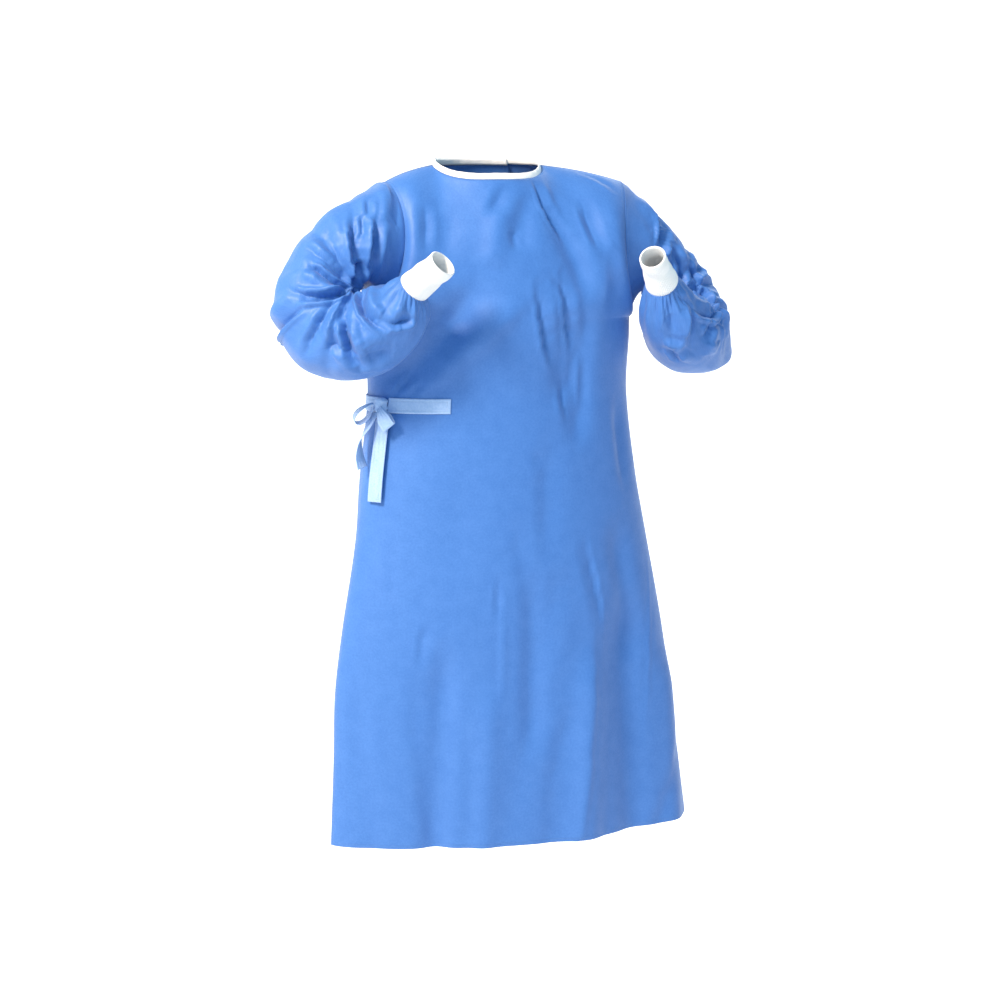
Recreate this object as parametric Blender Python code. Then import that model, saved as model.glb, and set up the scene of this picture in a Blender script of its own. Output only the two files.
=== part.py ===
"""A surgical gown, filled out and hollow, with bent sleeves, knit cuffs and a tied belt.

Metres, +Z up. The gown faces -Y and +X is the wearer's left. The origin is between the
shoulders at the level of the neck, where the wearer holds the gown up.
"""

import math
from types import SimpleNamespace

import bmesh
import bpy
import numpy as np
from mathutils import Vector

# Cloth
WALL = 0.002
KNIT_WALL = 0.0025
BELT_WALL = 0.0015
SEAM_GAP = 0.0003

# The inner back panel slips under the outer one by LAP_INSET, from these columns on at the
# hem and at the top
LAP_INSET = 0.0034
LAP_COLUMN_LOW = 5
LAP_COLUMN_TOP = 8

# Heights of the body
HEM_Z = -1.227
UNDERARM_Z = -0.275
LOWER_ROWS = 17
UPPER_ROWS = 14
BODY_ROWS = LOWER_ROWS + UPPER_ROWS
COLUMNS = 30

# The two free edges at the back, as columns counted from the wearer's right side seam
SHOULDER_COLUMNS = 8
OUTER_EDGE_COLUMN = 10
INNER_EDGE_COLUMN = 18
NECK_SHARE = 1 - 2 * SHOULDER_COLUMNS / COLUMNS

FRONT = -1
BACK = 1
RIGHT = -1
LEFT = 1

# Neckline and shoulders
NECK_CENTRE = Vector((-0.026, -0.008, 0.001))
NECK_HALF_WIDTH = 0.101
NECK_DEPTH = {FRONT: 0.076, BACK: 0.074}
NECK_DROP = {FRONT: 0.024, BACK: -0.004}
NECK_DIP = 0.003
BINDING_HEIGHT = 0.010
BINDING_LEAN = 0.40
SHOULDER_POINT = {RIGHT: Vector((-0.214, -0.006, -0.029)), LEFT: Vector((0.230, -0.006, -0.028))}
SHOULDER_CROWN = 0.004
SHOULDER_LEAN = 0.35

# Armholes
ARMHOLE_DEPTH = {FRONT: 0.086, BACK: 0.082}
ARMHOLE_INSET = {FRONT: 0.026, BACK: 0.018}
ARMHOLE_FLARE = 0.6
SHOULDER_ARC = math.radians(88)
NECK_ARC = {FRONT: math.radians(52), BACK: math.radians(64)}

# Sleeves and cuffs
RING_COLUMNS = 2 * UPPER_ROWS
SLEEVE_RINGS = 24
SLEEVE_HEAD_RINGS = 3
SLEEVE_ELBOW_RING = 13
SLEEVE_CUT_GAP = 0.0006

# Inside the elbow and the underarm the cloth is averaged with its neighbours, pass after pass,
# until it no longer meets itself. The reach counts columns to each side of the underarm line
RELAX_PASSES = {RIGHT: 16, LEFT: 32}
RELAX_REACH = {RIGHT: 10, LEFT: 12}
RELAX_STEP = 0.5
RELAX_LAST_RING = 19
RELAX_FADE_COLUMNS = 3
RELAX_FADE_RINGS = 2
CUFF_RINGS = 4
CUFF_WRINKLE = 0.0012
CUFF_WRINKLES = 1.5
CUFF_TAPER = 1.3

# Belt
BELT_WIDTH = 0.027
BELT_Z = -0.421
BELT_SEAT = 0.0006
BELT_KNOT_LIFT = 0.0035
RIBBON_ROWS = 2
LOOP_COLUMNS = 16
TAIL_CELLS = 8
STRIP_ROW_HEIGHT = 0.020
KNOT_SIZE = Vector((0.026, 0.020, 0.028))
KNOT_PINCH = 0.42

CLOTH_BLUE = (0.16, 0.36, 0.70, 1)
KNIT_WHITE = (0.85, 0.85, 0.87, 1)
BELT_BLUE = (0.20, 0.40, 0.74, 1)


class Rows:
    """A short table with named columns, read smoothly between its rows."""

    def __init__(self, names, *rows):
        self.names = names.split()
        self.rows = rows

    def slope(self, index, column):
        """The slope through a row, from the rows on each side of it."""
        low = self.rows[max(index - 1, 0)]
        high = self.rows[min(index + 1, len(self.rows) - 1)]
        return (high[column] - low[column]) / (high[0] - low[0])

    def at(self, key):
        """The values at a key, which is in the first column."""
        key = min(max(key, self.rows[0][0]), self.rows[-1][0])
        index = 0
        while index < len(self.rows) - 2 and key > self.rows[index + 1][0]:
            index += 1
        low, high = self.rows[index], self.rows[index + 1]
        span = high[0] - low[0]
        t = (key - low[0]) / span
        values = {}
        for column, name in enumerate(self.names):
            start, end = low[column], high[column]
            leave = self.slope(index, column) * span
            reach = self.slope(index + 1, column) * span
            values[name] = ((2 * t**3 - 3 * t**2 + 1) * start + (t**3 - 2 * t**2 + t) * leave
                            + (3 * t**2 - 2 * t**3) * end + (t**3 - t**2) * reach)
        return SimpleNamespace(**values)


# Sections of the body from the hem up. front and back are depths from the centre,
# corner sharpens the side seams and lean moves the fullness to the wearer's left
BODY = Rows(
    "z half_width centre_x centre_y front back corner lean",
    (-1.227, 0.352, 0.020, -0.021, 0.122, 0.150, 1.30, 0.22),
    (-1.070, 0.337, 0.013, -0.018, 0.124, 0.148, 1.25, 0.18),
    (-0.950, 0.327, 0.008, -0.015, 0.124, 0.146, 1.20, 0.15),
    (-0.840, 0.311, 0.007, -0.012, 0.126, 0.142, 1.15, 0.12),
    (-0.670, 0.280, 0.005, -0.008, 0.127, 0.134, 1.10, 0.08),
    (-0.560, 0.264, 0.000, -0.004, 0.128, 0.126, 1.00, 0.04),
    (-0.410, 0.246, 0.000, 0.000, 0.130, 0.118, 0.95, 0.00),
    (-0.310, 0.250, 0.000, 0.000, 0.137, 0.122, 0.95, 0.00),
    (-0.275, 0.250, 0.000, 0.000, 0.139, 0.124, 0.95, 0.00),
)

# Folds of the front, as lines on the flat front view. depth is into the cloth
FRONT_FOLDS = (
    # x_top  z_top  x_low  z_low  width  depth
    (0.030, -0.035, -0.015, -0.160, 0.024, 0.008),
    (-0.030, -0.060, -0.060, -0.190, 0.022, -0.005),
    (0.055, -0.030, 0.135, -0.250, 0.022, 0.010),
    (0.140, -0.055, 0.180, -0.200, 0.022, 0.007),
    (0.070, -0.240, 0.085, -0.440, 0.024, 0.010),
    (0.120, -0.220, 0.110, -0.520, 0.022, 0.011),
    (-0.080, -0.225, -0.245, -0.410, 0.038, 0.018),
    (0.020, -0.700, 0.015, -1.080, 0.022, 0.009),
    (-0.140, -0.820, -0.160, -1.227, 0.026, 0.012),
    (-0.060, -0.900, -0.075, -1.227, 0.024, -0.007),
    (0.185, -0.620, 0.240, -0.920, 0.026, 0.010),
    (0.215, -0.760, 0.235, -1.227, 0.040, 0.022),
    (0.130, -0.860, 0.120, -1.227, 0.030, -0.010),
    (0.310, -0.880, 0.325, -1.227, 0.024, -0.010),
)

# Folds of the back, hanging from the shoulders and the waist
BACK_FOLDS = (
    (-0.120, -0.060, -0.090, -0.350, 0.026, 0.009),
    (0.130, -0.070, 0.100, -0.380, 0.024, 0.010),
    (0.010, -0.230, 0.040, -0.640, 0.026, -0.007),
    (0.180, -0.430, 0.215, -1.227, 0.036, 0.019),
    (0.060, -0.540, 0.060, -1.227, 0.030, 0.014),
    (-0.080, -0.500, -0.090, -1.227, 0.034, 0.016),
    (-0.240, -0.580, -0.270, -1.227, 0.028, 0.012),
    (0.290, -0.680, 0.310, -1.227, 0.024, -0.010),
)

# Rings of a sleeve. x, y, z is the outer edge of a ring and slide is where its inner edge
# lies from the pit of the elbow, towards the armhole below zero and to the cuff above.
# across is the ring's half width the other way
SLEEVES = {
    RIGHT: SimpleNamespace(
        pit=Vector((-0.300, -0.117, -0.207)),
        towards_armhole=Vector((0.62, 0.70, -0.20)),
        towards_cuff=Vector((0.74, -0.60, 0.30)),
        cuff_axis=Vector((0.55, -0.58, 0.60)),
        pit_radius=0.011,
        cuff_length=0.070,
        cuff_mouth=0.90,
        rings=Rows(
            "ring x y z slide across",
            (1.0, -0.232, 0.010, -0.036, -0.070, 0.084),
            (2.0, -0.268, 0.016, -0.068, -0.030, 0.084),
            (3.0, -0.312, 0.016, -0.116, -0.004, 0.082),
            (4.0, -0.360, 0.006, -0.170, 0.0, 0.080),
            (5.0, -0.402, -0.012, -0.228, 0.0, 0.080),
            (6.0, -0.415, -0.032, -0.288, 0.0, 0.080),
            (7.0, -0.388, -0.058, -0.344, 0.0, 0.080),
            (8.0, -0.330, -0.092, -0.372, 0.002, 0.080),
            (9.0, -0.272, -0.126, -0.366, 0.012, 0.076),
            (10.0, -0.224, -0.160, -0.328, 0.032, 0.067),
            (11.0, -0.200, -0.188, -0.272, 0.058, 0.053),
            (12.0, -0.206, -0.206, -0.224, 0.086, 0.033),
        ),
    ),
    LEFT: SimpleNamespace(
        pit=Vector((0.332, -0.058, -0.232)),
        towards_armhole=Vector((-0.72, 0.55, 0.10)),
        towards_cuff=Vector((-0.60, -0.58, 0.52)),
        cuff_axis=Vector((-0.50, -0.60, 0.62)),
        pit_radius=0.011,
        cuff_length=0.076,
        cuff_mouth=0.80,
        rings=Rows(
            "ring x y z slide across",
            (1.0, 0.251, 0.012, -0.038, -0.070, 0.084),
            (2.0, 0.274, 0.020, -0.072, -0.030, 0.080),
            (3.0, 0.304, 0.034, -0.124, -0.004, 0.074),
            (4.0, 0.342, 0.048, -0.186, 0.0, 0.073),
            (5.0, 0.392, 0.054, -0.254, 0.0, 0.076),
            (6.0, 0.436, 0.044, -0.320, 0.0, 0.082),
            (7.0, 0.442, 0.014, -0.366, 0.0, 0.086),
            (8.0, 0.402, -0.026, -0.388, 0.002, 0.084),
            (9.0, 0.350, -0.070, -0.382, 0.012, 0.077),
            (10.0, 0.302, -0.110, -0.346, 0.032, 0.064),
            (11.0, 0.266, -0.144, -0.288, 0.062, 0.048),
            (12.0, 0.250, -0.162, -0.226, 0.092, 0.029),
        ),
    ),
}

# Folds of the sleeves. angle 0 is the outer edge and 90 the front, depth is into the cloth
SLEEVE_FOLDS = (
    # ring  angle  ring_width  angle_width  depth
    (2.2, 60, 0.45, 50, 0.005),
    (3.4, 75, 0.42, 55, 0.006),
    (4.6, 70, 0.42, 60, 0.005),
    (5.6, 80, 0.42, 60, 0.007),
    (6.7, 70, 0.42, 55, 0.005),
    (7.8, 60, 0.45, 60, 0.006),
    (9.0, 40, 0.45, 55, 0.005),
    (10.2, 60, 0.42, 50, 0.003),
    (2.8, 300, 0.45, 50, 0.004),
    (4.2, 290, 0.42, 55, 0.005),
    (5.5, 285, 0.42, 60, 0.006),
    (7.0, 290, 0.42, 55, 0.005),
    (8.5, 300, 0.45, 50, 0.004),
    (9.8, 310, 0.42, 50, 0.003),
    (6.2, 0, 0.45, 40, 0.004),
    (8.4, 350, 0.45, 40, 0.004),
)

GATHERS = 9
GATHER_DEPTH = 0.0025

# Strips that lie on the body. first and last are grid columns of a side, z_low and z_high
# are their edges, and lift is how far each end stands off the cloth
STRIPS = {
    "belt_tab": SimpleNamespace(side=FRONT, first=4.06, last=9.8, cells=8, z_high=-0.4075,
                                z_low=-0.4345, lift_first=0.0035, lift_last=0.0),
    "belt_tail_long": SimpleNamespace(side=FRONT, first=2.75, last=4.45, cells=2,
                                      z_high=-0.4357, z_low=-0.594, lift_first=0.006,
                                      lift_last=0.0075),
    "neck_tab": SimpleNamespace(side=BACK, first=8.4, last=12.4, cells=6, z_high=-0.036,
                                z_low=-0.060, lift_first=0.0, lift_last=0.0),
}

# The belt's way round the wearer's right side: from the outer back panel to the knot
BELT_WRAP_START = 11.6
BELT_WRAP_END = 2.72
KNOT_COLUMN = 3.4

# Loops and the short tail of the bow, from the middle of the knot. side runs towards the
# centre front, out away from the body and up along +Z
LOOPS = {
    "belt_loop_front": SimpleNamespace(start=(0.004, 0.0125, -0.004), run=(0.62, 0.05, -0.78),
                                       face=(0.10, 1.0, 0.10), length=0.042, depth=0.006),
    "belt_loop_side": SimpleNamespace(start=(-0.0143, 0.0048, 0.002), run=(-0.55, 0.45, -0.70),
                                      face=(-0.45, 0.60, 0.66), length=0.046, depth=0.013),
}
SHORT_TAIL = Rows(
    "step side out up turn",
    (0, -0.009, 0.003, -0.0124, 12),
    (1, -0.020, 0.014, -0.040, 35),
    (2, -0.032, 0.022, -0.064, 60),
    (3, -0.034, 0.022, -0.088, 80),
    (4, -0.028, 0.018, -0.112, 95),
)


def smooth_step(value):
    """0 below zero and 1 above one, with a soft change between."""
    value = min(max(value, 0.0), 1.0)
    return value * value * (3 - 2 * value)


def clear_scene():
    """Remove what the file opened with."""
    for thing in list(bpy.data.objects):
        bpy.data.objects.remove(thing, do_unlink=True)


def finish_material(name, colour, roughness):
    """A plain finish in the piece's own colour."""
    material = bpy.data.materials.new(name)
    material.use_nodes = True
    shader = material.node_tree.nodes["Principled BSDF"]
    shader.inputs["Base Color"].default_value = colour
    shader.inputs["Roughness"].default_value = roughness
    shader.inputs["Metallic"].default_value = 0.0
    return material


def add_object(name, bm, colour, roughness=0.8):
    """Put a finished mesh in the scene under its node's name."""
    bmesh.ops.recalc_face_normals(bm, faces=bm.faces[:])
    if bm.calc_volume(signed=True) < 0:
        bmesh.ops.reverse_faces(bm, faces=bm.faces[:])
    mesh = bpy.data.meshes.new(name)
    bm.to_mesh(mesh)
    bm.free()
    mesh.materials.append(finish_material(name, colour, roughness))
    mesh.shade_smooth()
    mesh.set_sharp_from_angle(angle=math.radians(50))
    piece = bpy.data.objects.new(name, mesh)
    bpy.context.scene.collection.objects.link(piece)
    return piece


def cloth_wall(name, columns, rows, place, colour, closed=False):
    """A wall of cloth. place(i, j) gives an outer point and the step through the cloth."""
    bm = bmesh.new()
    through = bm.verts.layers.float_vector.new("through")
    bmesh.ops.create_grid(bm, x_segments=columns, y_segments=rows, size=0.5)
    for vert in bm.verts:
        i = round((vert.co.x + 0.5) * columns)
        j = round((vert.co.y + 0.5) * rows)
        vert.co, vert[through] = place(i, j)
    if closed:
        bmesh.ops.remove_doubles(bm, verts=bm.verts[:], dist=1e-6)
    bmesh.ops.triangulate(bm, faces=bm.faces[:], quad_method="FIXED")
    inner = bmesh.ops.extrude_face_region(bm, geom=bm.faces[:])
    for part in inner["geom"]:
        if isinstance(part, bmesh.types.BMVert):
            part.co += part[through]
    edges_of_cloth = [face for face in bm.faces if len(face.verts) == 4]
    bmesh.ops.triangulate(bm, faces=edges_of_cloth, quad_method="SHORT_EDGE")
    return add_object(name, bm, colour)


def fold_offset(folds, x, z):
    """How far the folds move the cloth outwards at a place of the front or back view."""
    offset = 0.0
    for x_top, z_top, x_low, z_low, width, depth in folds:
        run_x, run_z = x_low - x_top, z_low - z_top
        length = math.hypot(run_x, run_z)
        along = ((x - x_top) * run_x + (z - z_top) * run_z) / length
        beside = ((x - x_top) * run_z - (z - z_top) * run_x) / length
        reaches_hem = z_low <= HEM_Z
        fade = smooth_step(along / (0.3 * length))
        if not reaches_hem:
            fade *= smooth_step((length - along) / (0.3 * length))
        offset -= depth * math.exp(-(beside / width) ** 2) * fade
    return offset


def section_point(side, across, z):
    """A point round the body. across runs from the wearer's right seam to the left one."""
    row = BODY.at(z)
    angle = across * math.pi / 2
    depth = row.front if side == FRONT else row.back
    bulge = max(math.cos(angle), 0.0) ** row.corner * (1 + row.lean * math.sin(angle))
    return Vector((row.centre_x + row.half_width * math.sin(angle),
                   row.centre_y + side * depth * bulge, z))


def neckline_point(side, turn):
    """The cloth's edge round the neck. turn runs from -1 to 1 over half of it."""
    angle = turn * math.pi / 2
    x = NECK_HALF_WIDTH * math.sin(angle)
    y = side * NECK_DEPTH[side] * math.cos(angle)
    z = -NECK_DROP[side] * math.cos(angle) ** 0.8 if abs(turn) < 1 else 0.0
    if side == FRONT:
        z -= NECK_DIP * math.sin(2 * angle) ** 2
    return NECK_CENTRE + Vector((x, y, z))


def top_point(side, across):
    """The top edge of a panel: a shoulder, the neckline and the other shoulder."""
    hand = LEFT if across > 0 else RIGHT
    if abs(across) <= NECK_SHARE:
        return neckline_point(side, across / NECK_SHARE)
    run = (abs(across) - NECK_SHARE) / (1 - NECK_SHARE)
    point = neckline_point(side, hand).lerp(SHOULDER_POINT[hand], run)
    point.z += SHOULDER_CROWN * math.sin(math.pi * run)
    return point


def armhole_point(side, hand, rise):
    """The armhole's edge. rise is 0 at the underarm and 1 at the shoulder."""
    under = section_point(side, hand, UNDERARM_Z)
    turn = math.pi * rise
    half = (SHOULDER_POINT[hand] - under) / 2
    point = under + half * (1 - math.cos(turn))
    point.y += side * ARMHOLE_DEPTH[side] * math.sin(turn)
    point.x -= hand * ARMHOLE_INSET[side] * math.sin(turn) ** 2
    return point


def yoke_point(side, across, rise):
    """A point between the underarm and the top edge, before the armhole is shaped."""
    base = section_point(side, across, UNDERARM_Z)
    top = top_point(side, across)
    share = smooth_step(1 - abs(across))
    arc = SHOULDER_ARC + (NECK_ARC[side] - SHOULDER_ARC) * share
    inward = (1 - math.cos(rise * arc)) / (1 - math.cos(arc))
    climb = math.sin(rise * arc) / math.sin(arc)
    point = base.lerp(top, inward)
    point.z = base.z + (top.z - base.z) * climb
    return point


def panel_point(side, across, level):
    """A point of the body. level is 0 at the hem, 1 at the underarm, 2 at the top."""
    if level <= 1:
        return section_point(side, across, HEM_Z + (UNDERARM_Z - HEM_Z) * level)
    rise = level - 1
    point = yoke_point(side, across, rise)
    hand = LEFT if across > 0 else RIGHT
    shift = armhole_point(side, hand, rise) - yoke_point(side, hand, rise)
    return point + shift * smooth_step((abs(across) - 0.2) / 0.8)


def surface_normal(point_at, u, v, u_limits, v_limits, step=0.02):
    """The outward normal of a surface, from points a little to each side."""
    u_low, u_high = max(u - step, u_limits[0]), min(u + step, u_limits[1])
    v_low, v_high = max(v - step, v_limits[0]), min(v + step, v_limits[1])
    along = point_at(u_high, v) - point_at(u_low, v)
    up = point_at(u, v_high) - point_at(u, v_low)
    return along.cross(up).normalized()


def armhole_normal(hand, point):
    """The outward direction that the body and the sleeve share at the armhole."""
    middle = (section_point(FRONT, hand, UNDERARM_Z) + SHOULDER_POINT[hand]) / 2
    away = point - middle
    away.x = 0
    return (away.normalized() + Vector((hand * ARMHOLE_FLARE, 0, 0))).normalized()


def neckline_normal(point):
    """The outward direction that the body and the binding share at the neck."""
    away = point - NECK_CENTRE
    away.z = 0
    return (away.normalized() * 0.8 + Vector((0, 0, 0.6))).normalized()


def panel_normal(side, i, j):
    """The outward direction at a grid point, shared with the next piece at a seam."""
    across = 2 * i / COLUMNS - 1
    level = level_of(j)
    point = panel_point(side, across, level)
    hand = LEFT if across > 0 else RIGHT
    if j == BODY_ROWS and SHOULDER_COLUMNS <= i <= COLUMNS - SHOULDER_COLUMNS:
        return neckline_normal(point)
    if i in (0, COLUMNS) and j >= LOWER_ROWS:
        return armhole_normal(hand, point)
    if i in (0, COLUMNS):
        return Vector((hand, 0, 0))
    if j == BODY_ROWS:
        return Vector((hand * SHOULDER_LEAN, 0, 1)).normalized()
    return -side * surface_normal(lambda u, v: panel_point(side, u, v), across, level,
                                  (-1, 1), (0, 2))


def level_of(j):
    """The level of a row of the grid."""
    if j <= LOWER_ROWS:
        return j / LOWER_ROWS
    return 1 + (j - LOWER_ROWS) / UPPER_ROWS


def seam_fade(i, j):
    """1 inside a panel and 0 at its sewn edges, so folds die out there."""
    beside = min(i, COLUMNS - i) / 3
    below_top = (BODY_ROWS - j) / 3
    return smooth_step(beside) * smooth_step(below_top)


def panel_place(side, i, j, inset=0.0):
    """A grid point of the body with its folds, and the step through the cloth there."""
    across = 2 * i / COLUMNS - 1
    point = panel_point(side, across, level_of(j))
    normal = panel_normal(side, i, j)
    folds = FRONT_FOLDS if side == FRONT else BACK_FOLDS
    offset = fold_offset(folds, point.x, point.z) * seam_fade(i, j) - inset
    return point + normal * offset, -normal * WALL


def lap_inset(i, j):
    """How far the inner back panel lies under the outer one."""
    rise = smooth_step((level_of(j) - 1.4) / 0.6)
    start = LAP_COLUMN_LOW + (LAP_COLUMN_TOP - LAP_COLUMN_LOW) * rise
    full = OUTER_EDGE_COLUMN - 1
    return LAP_INSET * smooth_step((i - start) / (full - start))


def back_off(side, i, j, point):
    """Half a seam's gap, from a sewn edge towards the middle of the panel."""
    inner_i = min(max(i, 1), COLUMNS - 1)
    inner_j = min(j, BODY_ROWS - 1)
    if (inner_i, inner_j) == (i, j):
        return point
    inner = panel_point(side, 2 * inner_i / COLUMNS - 1, level_of(inner_j))
    return point + (inner - point).normalized() * SEAM_GAP / 2


def make_panel(name, side, first, last, inset_at=None):
    """One panel of the body, between two columns of the grid."""
    def place(i, j):
        column = first + i
        inset = inset_at(column, j) if inset_at else 0.0
        point, through = panel_place(side, column, j, inset)
        return back_off(side, column, j, point), through
    return cloth_wall(name, last - first, BODY_ROWS, place, CLOTH_BLUE)


def armhole_ring(hand, j):
    """A point of the armhole, counted from the shoulder down the front and up the back."""
    if j <= UPPER_ROWS:
        return armhole_point(FRONT, hand, 1 - j / UPPER_ROWS)
    return armhole_point(BACK, hand, j / UPPER_ROWS - 1)


def ring_frame(hand, ring):
    """The middle of a ring, its half width to the outer edge, and the one to the front."""
    sleeve = SLEEVES[hand]

    def edges(key):
        row = sleeve.rings.at(key)
        outer = Vector((row.x, row.y, row.z))
        toward = sleeve.towards_cuff if row.slide > 0 else sleeve.towards_armhole
        inner = sleeve.pit + toward.normalized() * abs(row.slide)
        inner += (outer - inner).normalized() * sleeve.pit_radius
        return outer, inner, row.across

    outer, inner, across = edges(ring)
    first, last = sleeve.rings.rows[0][0], sleeve.rings.rows[-1][0]
    outer_a, inner_a, _ = edges(max(ring - 0.3, first))
    outer_b, inner_b, _ = edges(min(ring + 0.3, last))
    along = (outer_b + inner_b) - (outer_a + inner_a)
    settle = smooth_step((ring - (last - 2)) / 2)
    along = along.normalized().lerp(sleeve.cuff_axis.normalized(), settle)
    middle = (outer + inner) / 2
    radial = (outer - inner) / 2
    if settle > 0:
        axis = sleeve.cuff_axis.normalized()
        flat = radial - axis * radial.dot(axis) * settle
        radial = flat.normalized() * radial.length
    front = along.cross(radial).normalized() * across * hand
    return middle, radial, front


def sleeve_point(hand, ring, turn):
    """A point of a sleeve. ring 0 is the armhole and turn counts round from the shoulder."""
    first = SLEEVES[hand].rings.rows[0][0]
    middle, radial, front = ring_frame(hand, max(ring, first))
    angle = 2 * math.pi * turn / RING_COLUMNS
    point = middle + radial * math.cos(angle) + front * math.sin(angle)
    if ring >= first:
        return point
    low = math.floor(turn) % RING_COLUMNS
    part = turn - math.floor(turn)
    edge = armhole_ring(hand, low).lerp(armhole_ring(hand, (low + 1) % RING_COLUMNS), part)
    return edge.lerp(point, smooth_step(ring / first) * 0.5 + 0.5 * ring / first)


def sleeve_fold(ring, turn):
    """How far the folds move a sleeve outwards."""
    last = SLEEVES[RIGHT].rings.rows[-1][0]
    angle = 360 * turn / RING_COLUMNS
    offset = 0.0
    for at_ring, at_angle, ring_width, angle_width, depth in SLEEVE_FOLDS:
        apart = (angle - at_angle + 180) % 360 - 180
        offset -= depth * math.exp(-((ring - at_ring) / ring_width) ** 2
                                   - (apart / angle_width) ** 2)
    gather = GATHER_DEPTH * math.cos(GATHERS * math.radians(angle))
    offset += gather * smooth_step((ring - last + 2.2) / 1.4) * smooth_step((last - ring) / 0.5)
    return offset * smooth_step(ring / 1.5) * smooth_step((last - ring) / 0.6)


def ring_key(j):
    """The ring of a sleeve's row. The first rows are inside the first ring's run."""
    last = SLEEVES[RIGHT].rings.rows[-1][0]
    if j <= SLEEVE_HEAD_RINGS:
        return j / SLEEVE_HEAD_RINGS
    return 1 + (last - 1) * (j - SLEEVE_HEAD_RINGS) / (SLEEVE_RINGS - SLEEVE_HEAD_RINGS)


def relax_share(hand):
    """How much each point of a sleeve gives way in one pass, in rows of columns."""
    column = np.arange(RING_COLUMNS)
    ring = np.arange(SLEEVE_RINGS + 1)
    from_underarm = np.abs(column - RING_COLUMNS / 2)
    beside = np.clip((RELAX_REACH[hand] - from_underarm) / RELAX_FADE_COLUMNS, 0, 1)
    from_ends = np.minimum(ring, RELAX_LAST_RING - ring)
    along = np.clip(from_ends / RELAX_FADE_RINGS, 0, 1)
    return RELAX_STEP * (along[:, None] * beside[None, :])[..., None]


def sleeve_grid(hand):
    """The points of a sleeve before its folds, with the inside of its bend relaxed."""
    grid = np.array([[sleeve_point(hand, ring_key(j), i) for i in range(RING_COLUMNS)]
                     for j in range(SLEEVE_RINGS + 1)])
    share = relax_share(hand)
    for _ in range(RELAX_PASSES[hand]):
        mean = (np.roll(grid, 1, 1) + np.roll(grid, -1, 1)) / 4
        mean[1:-1] += (grid[2:] + grid[:-2]) / 4
        mean[[0, -1]] = grid[[0, -1]]
        grid = grid + (mean - grid) * share
    return grid


def sleeve_place(hand, grid, i, j):
    """A grid point of a sleeve with its folds, and the step through the cloth there."""
    turn = i % RING_COLUMNS
    point = Vector(grid[j, turn])
    if j == 0:
        normal = armhole_normal(hand, point)
        ahead = Vector(grid[1, turn])
        return point + (ahead - point).normalized() * SEAM_GAP / 2, -normal * WALL
    if j == SLEEVE_RINGS:
        middle, _, _ = ring_frame(hand, ring_key(j))
        normal = (point - middle).normalized()
        back = SLEEVES[hand].cuff_axis.normalized() * SEAM_GAP / 2
        return point - back, -normal * WALL
    around = Vector(grid[j, (turn + 1) % RING_COLUMNS] - grid[j, turn - 1])
    along = Vector(grid[j + 1, turn] - grid[j - 1, turn])
    normal = (around.cross(along) * hand).normalized()
    from_armhole = smooth_step(j / SLEEVE_HEAD_RINGS)
    normal = armhole_normal(hand, Vector(grid[0, turn])).lerp(normal, from_armhole).normalized()
    return point + normal * sleeve_fold(ring_key(j), turn), -normal * WALL


def make_sleeve_quarter(name, hand, grid, column, row, rows):
    """A quarter of a sleeve's wall. It stops half a gap short of the next quarters."""
    columns = RING_COLUMNS // 2

    def place(i, j):
        point, through = sleeve_place(hand, grid, column + i, row + j)
        shift = Vector((0, 0, 0))
        inner_i = min(max(i, 1), columns - 1)
        if inner_i != i:
            beside, _ = sleeve_place(hand, grid, column + inner_i, row + j)
            shift += (beside - point).normalized() * SLEEVE_CUT_GAP / 2
        inner_j = min(max(j, 1), rows - 1)
        if inner_j != j and 0 < row + j < SLEEVE_RINGS:
            beside, _ = sleeve_place(hand, grid, column + i, row + inner_j)
            shift += (beside - point).normalized() * SLEEVE_CUT_GAP / 2
        return point + shift, through
    return cloth_wall(name, columns, rows, place, CLOTH_BLUE)


def make_sleeve(name, hand):
    """One sleeve as four open channels: above and below the elbow, front and back."""
    grid = sleeve_grid(hand)
    half = RING_COLUMNS // 2
    below = SLEEVE_RINGS - SLEEVE_ELBOW_RING
    make_sleeve_quarter(name + "_upper_front", hand, grid, 0, 0, SLEEVE_ELBOW_RING)
    make_sleeve_quarter(name + "_upper_back", hand, grid, half, 0, SLEEVE_ELBOW_RING)
    make_sleeve_quarter(name + "_lower_front", hand, grid, 0, SLEEVE_ELBOW_RING, below)
    make_sleeve_quarter(name + "_lower_back", hand, grid, half, SLEEVE_ELBOW_RING, below)


def make_cuff(name, hand):
    """A knit cuff that carries on from the end of its sleeve."""
    sleeve = SLEEVES[hand]
    middle, radial, front = ring_frame(hand, sleeve.rings.rows[-1][0])
    axis = sleeve.cuff_axis.normalized()

    def place(i, j):
        angle = 2 * math.pi * (i % RING_COLUMNS) / RING_COLUMNS
        run = j / CUFF_RINGS
        width = 1 + (sleeve.cuff_mouth - 1) * smooth_step(run * CUFF_TAPER)
        wave = math.sin(2 * math.pi * CUFF_WRINKLES * run)
        wrinkle = CUFF_WRINKLE * wave * math.sin(angle + 2 * run)
        around = radial * math.cos(angle) + front * math.sin(angle)
        normal = around.normalized()
        reach = sleeve.cuff_length * run + SEAM_GAP / 2
        return middle + around * width + normal * wrinkle + axis * reach, -normal * KNIT_WALL
    return cloth_wall(name, RING_COLUMNS, CUFF_RINGS, place, KNIT_WHITE, closed=True)


def binding_stations():
    """The binding's path: the outer panel's neck, the front, then under the outer panel."""
    last_neck = COLUMNS - SHOULDER_COLUMNS
    path = [(BACK, i, 0.0) for i in range(OUTER_EDGE_COLUMN, last_neck)]
    path += [(FRONT, i, 0.0) for i in range(last_neck, SHOULDER_COLUMNS - 1, -1)]
    path += [(BACK, i, lap_inset(i, BODY_ROWS))
             for i in range(SHOULDER_COLUMNS + 1, INNER_EDGE_COLUMN + 1)]
    return path


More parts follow.
